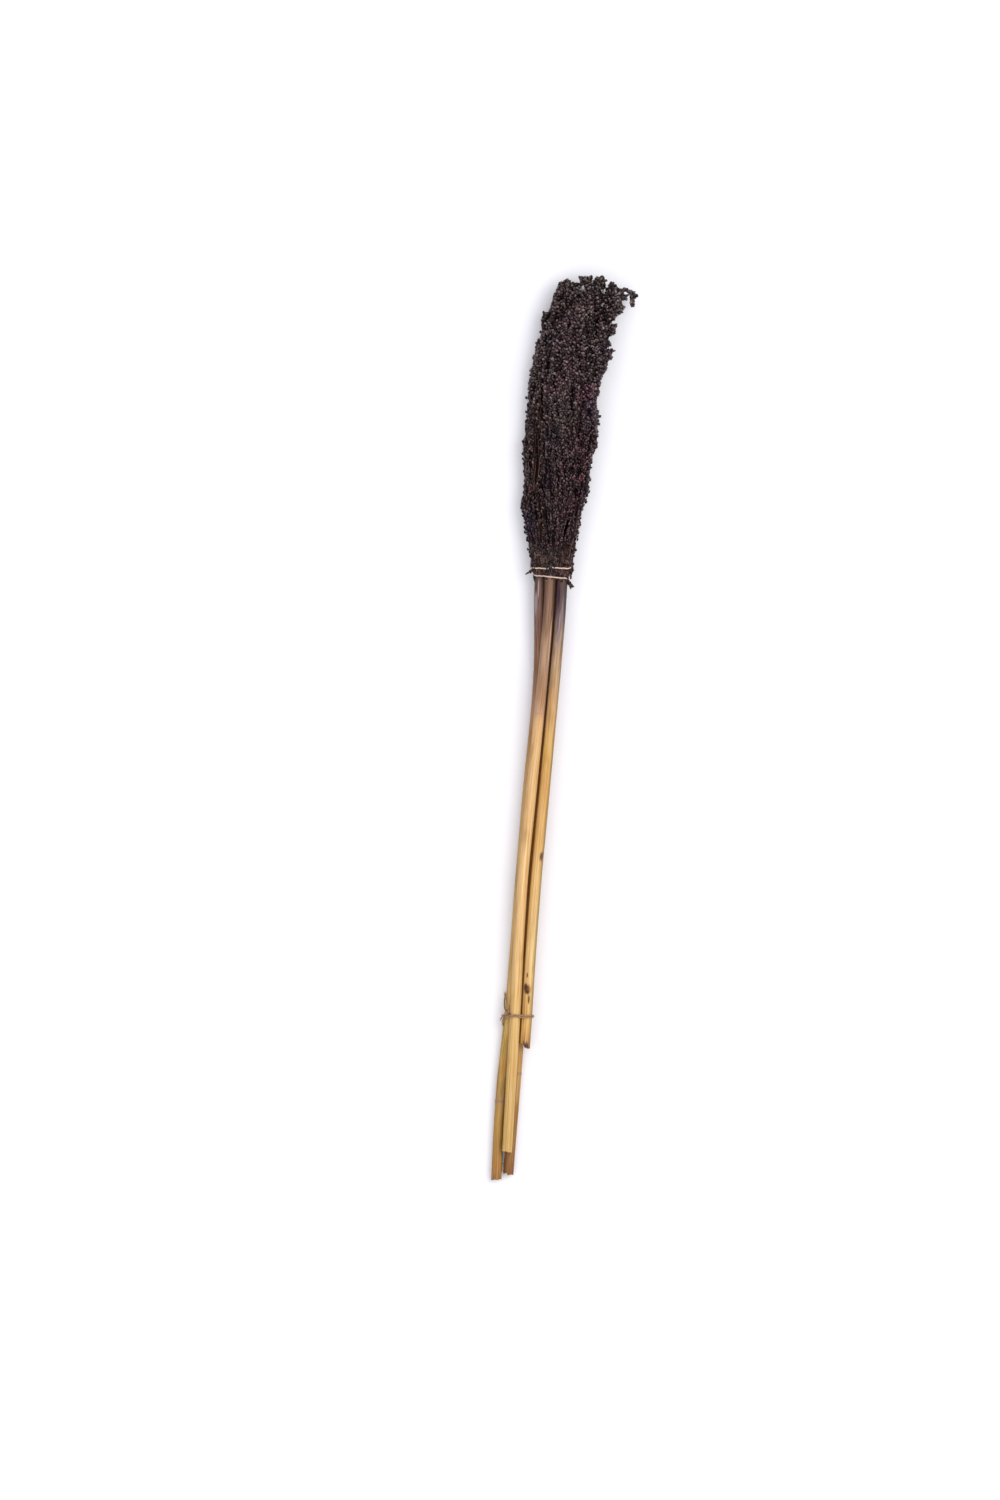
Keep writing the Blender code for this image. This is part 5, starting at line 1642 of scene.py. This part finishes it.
def twine_route(turns, knot):
    """Twice round, as points a TWINE_STEP apart. The share of the second turn rises from 0 just past
    the first time round and falls near the end, and the twine is lifted while it lies on itself."""
    past = np.linspace(0, 4 * math.pi, 1600)
    first, second = taut(turns[0], knot + past), taut(turns[1], knot + past)
    apart = abs(turns[1][0] - turns[0][0]) * MM
    over = past - 2 * math.pi
    back = 1 - (1 - 2 * TWINE_RADIUS / apart) * ramp(past, 4 * math.pi - CROSSING, 4 * math.pi)
    share = ramp(over, 0, CROSSING) * back
    lift = ramp(over, -0.4, 0.1) * (1 - ramp(share * apart, 0.5 * TWINE_RADIUS, 2 * TWINE_RADIUS))
    out = outwards(knot + past)
    route = first + (second - first) * share[:, None] + out * (LIFT * lift)[:, None]
    length = run_length(route)
    even = np.arange(0, length[-1], TWINE_STEP)
    route = np.stack([np.interp(even, length, route[:, i]) for i in range(3)], axis=-1)
    route[:, 1] += WOBBLE * np.sin(even / MM * 0.9 + knot) * np.sin(even / MM * 0.23)
    return route


routes = {name: twine_route(turns, math.radians(knot)) for name, (turns, knot, *_) in TIES.items()}
print("twine:", {name: round(len(route) * TWINE_STEP / MM) for name, route in routes.items()}, "mm")

# %% [markdown]
# Three plies follow the route as a three-fold helix. At a cut end the twist opens and the plies
# part and thin out.

# %% Plies
PLIES = 3
PLY_SIDES = 5
PLY_RADIUS = 0.29 * MM
PLY_OFFSET = 0.28 * MM
TWIST_PITCH = 3.6 * MM


def ply_lines(route, beside, open_end=0.0):
    """The plies' lines, (plies, steps, 3), and how far each is opened, from 0 to 1: on the last
    open_end of the route they part."""
    length = run_length(route)
    ahead = unit(np.gradient(route, axis=0))
    out = unit(np.cross(ahead, beside))
    across = np.cross(ahead, out)
    opened = ramp(length, length[-1] - open_end, length[-1]) if open_end else 0 * length
    turn = 2 * math.pi * length / TWIST_PITCH * (1 - 0.3 * opened)
    lines = []
    for k in range(PLIES):
        phase = turn + 2 * math.pi * k / PLIES
        way = out * np.cos(phase)[:, None] + across * np.sin(phase)[:, None]
        lines.append(route + way * (PLY_OFFSET * (1 + 2.2 * opened))[:, None])
    return np.array(lines), opened


def strand_of_twine(route, beside, open_end=0.0):
    """The three plies as tubes; where the twine is open they thin out."""
    lines, opened = ply_lines(route, beside, open_end)
    radii = np.broadcast_to(PLY_RADIUS * (1 - 0.75 * opened), lines.shape[:2])
    return tubes(lines, radii, PLY_SIDES, beside)


plies, _ = ply_lines(routes["foot"], (0, 1, 0))
print("foot tie:", plies.shape[0], "plies of", plies.shape[1], "rings")

# %% [markdown]
# Fine hairs stand off everywhere, as on any bast twine. The knot is a trefoil, which is what an
# overhand knot is once its ends are joined. The loose ends start inside it.

# %% Hairs, knot and loose ends
FRAYED = 2.6 * MM
KNOT_HALF = (1.5 * MM, 1.9 * MM, 0.9 * MM)
KNOT_STEPS = 90
HAIR_RADIUS = 0.06 * MM
HAIR_SIDES = 3
# The hairs round the turns, along a loose end and at its tip: how many, how long, how far spread.
ROUND_HAIRS = (220, 2.2 * MM, 0.8)
END_HAIRS = (50, 2.0 * MM, 0.9)
TIP_HAIRS = (16, 3.2 * MM, 0.35)


def hairs(roots, ahead, count, longest, spread):
    """Fine bent fibres from roots picked at random along a route."""
    picked = rng.integers(0, len(roots), count)
    way = unit(ahead[picked] + spread * rng.normal(size=(count, 3)))
    bend = unit(rng.normal(size=(count, 3)))
    s = np.linspace(0, 1, 4)[:, None]
    reach = longest * rng.uniform(0.4, 1, count)[:, None, None]
    lines = roots[picked][:, None] + reach * (way[:, None] * s + 0.3 * bend[:, None] * s**2)
    radii = np.broadcast_to(HAIR_RADIUS * np.linspace(1, 0.4, 4), lines.shape[:2])
    return tubes(lines, radii, HAIR_SIDES, (0.31, 0.52, 0.8))


def knot_route(seat, out, size):
    """A trefoil laid against the stalks: (sin t + 2 sin 2t, cos t - 2 cos 2t) across, and -sin 3t
    outwards, each scaled to its half size."""
    t = np.linspace(0, 2 * math.pi, KNOT_STEPS)
    side = np.cross(out, (0, 1, 0))
    curve = (np.sin(t) + 2 * np.sin(2 * t)) / 3, (np.cos(t) - 2 * np.cos(2 * t)) / 3, -np.sin(3 * t)
    axes = side, np.array([0, 1.0, 0]), out
    return seat + sum(half * value[:, None] * axis for half, value, axis in zip(size, curve, axes))


def tie_shape(name):
    """Both turns, the knot, the loose ends and the hairs of a tie."""
    _, knot, slide, ends = TIES[name]
    route = routes[name]
    out = outwards(math.radians(knot))
    seat = route[0] + out * 0.9 * MM + np.array(slide) * MM
    parts = [strand_of_twine(route, (0, 1, 0))]
    parts.append(strand_of_twine(knot_route(seat, out, KNOT_HALF), (0.3, 0.2, 0.9)))
    parts.append(hairs(route, np.gradient(route, axis=0) / TWINE_STEP, *ROUND_HAIRS))
    for steps in ends:
        points = seat + np.array([(0, 0, 0), *steps]) * MM
        length = run_length(points)
        tail = smooth(length, points, np.arange(0, length[-1], TWINE_STEP))
        ahead = unit(np.gradient(tail, axis=0))
        parts.append(strand_of_twine(tail, (0.3, 0, 1), FRAYED))
        parts.append(hairs(tail, ahead, *END_HAIRS))
        parts.append(hairs(tail[-5:], ahead[-5:], *TIP_HAIRS))
    return merged(*parts)


shape = tie_shape("foot")
print("foot tie:", len(shape[0]), "points, faces out:", faces_outward(shape))

# %% [markdown]
# Bast fibre is dull and takes colour unevenly, so each ply and hair has its own tone and a fine
# noise breaks it up further. The neck's twine has faded to a pinkish beige; the foot's is browner.

# %% Undyed bast twine
TWINE_TONES = {
    "neck": [(0.0, "#a98672"), (0.5, "#c9a893"), (1.0, "#e4cbb8")],
    "foot": [(0.0, "#5e4432"), (0.5, "#8d6c50"), (1.0, "#bb9a7a")],
}
# A bast fibre is a few hundredths of a millimetre thick: its grain is drawn coarser, to show.
BAST_GRAIN = (0.2381, 0.2381, 0.2381)


def twine_finish(name):
    """Bast twine: a tone for each ply and hair, broken up by fine noise."""
    made, tree, surface = new_finish(f"bast_twine_{name}", 0.9, 0.2)
    tone = add(tree, "Attribute", (), "Fac", attribute_name="tone")
    grain = noise_on(tree, add(tree, "TexCoord", (), "Object"), BAST_GRAIN)
    broken = add(tree, "Math", (tone, grain), operation="ADD")
    share = add(tree, "MapRange", (broken, 0.2, 1.4), **SMOOTH)
    colour = add(tree, "ValToRGB", (share,), stops=TWINE_TONES[name])
    bump = add(tree, "Bump", {"Height": grain, "Distance": 0.08 * MM, "Strength": 0.6})
    feed(tree, surface, {"Base Color": colour, "Normal": bump})
    return made


for name, slot in (("neck", "pale_twine"), ("foot", "brown_twine")):
    new_piece(f"twine_{name}", tie_shape(name), twine_finish(name), [f"tie_{name}"])

# %% [markdown]
# ## Floor, light and camera
#
# A white table, a large soft light from the upper right and a surround that is brighter overhead
# than at the horizon keep the shadows pale and the canes round. The camera looks straight down
# from far up through a long lens, which flattens the view, and its frame is 0.8 by 1.2 metres on
# the table, turned five degrees.

# %% The stage
FLOOR = 4.0
LIGHT_PLACE, LIGHT_AIM = (1.15, 0.4, 1.85), (0, -0.15, 0)
LIGHT_SIZE, LIGHT_POWER = 1.4, 18
HORIZON = 0.52
ZENITH = 1.36


def white_floor():
    """A square of matt white board, FLOOR from its middle to each side."""
    corners = FLOOR * np.array([(-1, -1, 0), (1, -1, 0), (1, 1, 0), (-1, 1, 0)])
    mesh = new_mesh("floor", corners, [np.array([[0, 1, 2, 3]])])
    made, tree, surface = new_finish("matt_white_board", 0.9)
    feed(tree, surface, {"Base Color": "#f6f6f8"})
    mesh.materials.append(made)
    floor = bpy.data.objects.new("floor", mesh)
    bpy.context.scene.collection.objects.link(floor)


def soft_light(name, place, aim, size, power):
    """A square area light that faces a point."""
    data = bpy.data.lights.new(name, "AREA")
    data.shape = "SQUARE"
    data.size = size
    data.energy = power
    lamp = bpy.data.objects.new(name, data)
    lamp.visible_camera = False
    lamp.location = place
    lamp.rotation_euler = (Vector(aim) - Vector(place)).to_track_quat("-Z", "Y").to_euler()
    bpy.context.scene.collection.objects.link(lamp)


def surround(horizon, zenith):
    """A near-white sky. Its strength goes evenly from the horizon up to straight overhead."""
    world = bpy.data.worlds.new("surround")
    world.use_nodes = True
    tree = world.node_tree
    height = add(tree, "SeparateXYZ", (add(tree, "TexCoord", (), "Generated"),), "Z")
    strength = add(tree, "MapRange", {0: height, 3: horizon, 4: zenith})
    feed(tree, tree.nodes["Background"], {"Color": "#f8f7fc", "Strength": strength})
    return world


white_floor()
soft_light("key", LIGHT_PLACE, LIGHT_AIM, LIGHT_SIZE, LIGHT_POWER)
bpy.context.scene.world = surround(HORIZON, ZENITH)
bpy.context.scene.view_settings.view_transform = "Standard"
print("light:", LIGHT_SIZE, "m wide; sky from", HORIZON, "to", ZENITH)

# %% The camera
SENSOR = 36
VIEW_HEIGHT = 20
VIEW_LENGTH = 1.2
VIEW_MIDDLE = (-29.0 * MM, -240.5 * MM)
VIEW_TURN = math.radians(5)
camera_data = bpy.data.cameras.new("camera")
camera_data.sensor_width = SENSOR
camera_data.lens = SENSOR * VIEW_HEIGHT / VIEW_LENGTH
camera = bpy.data.objects.new("camera", camera_data)
camera.location = (*VIEW_MIDDLE, VIEW_HEIGHT)
camera.rotation_euler = (0, 0, VIEW_TURN)
bpy.context.scene.collection.objects.link(camera)
bpy.context.scene.camera = camera
print("camera:", round(camera_data.lens), "mm lens,", VIEW_HEIGHT, "m up")

# %% The last line
bpy.context.view_layer.update()
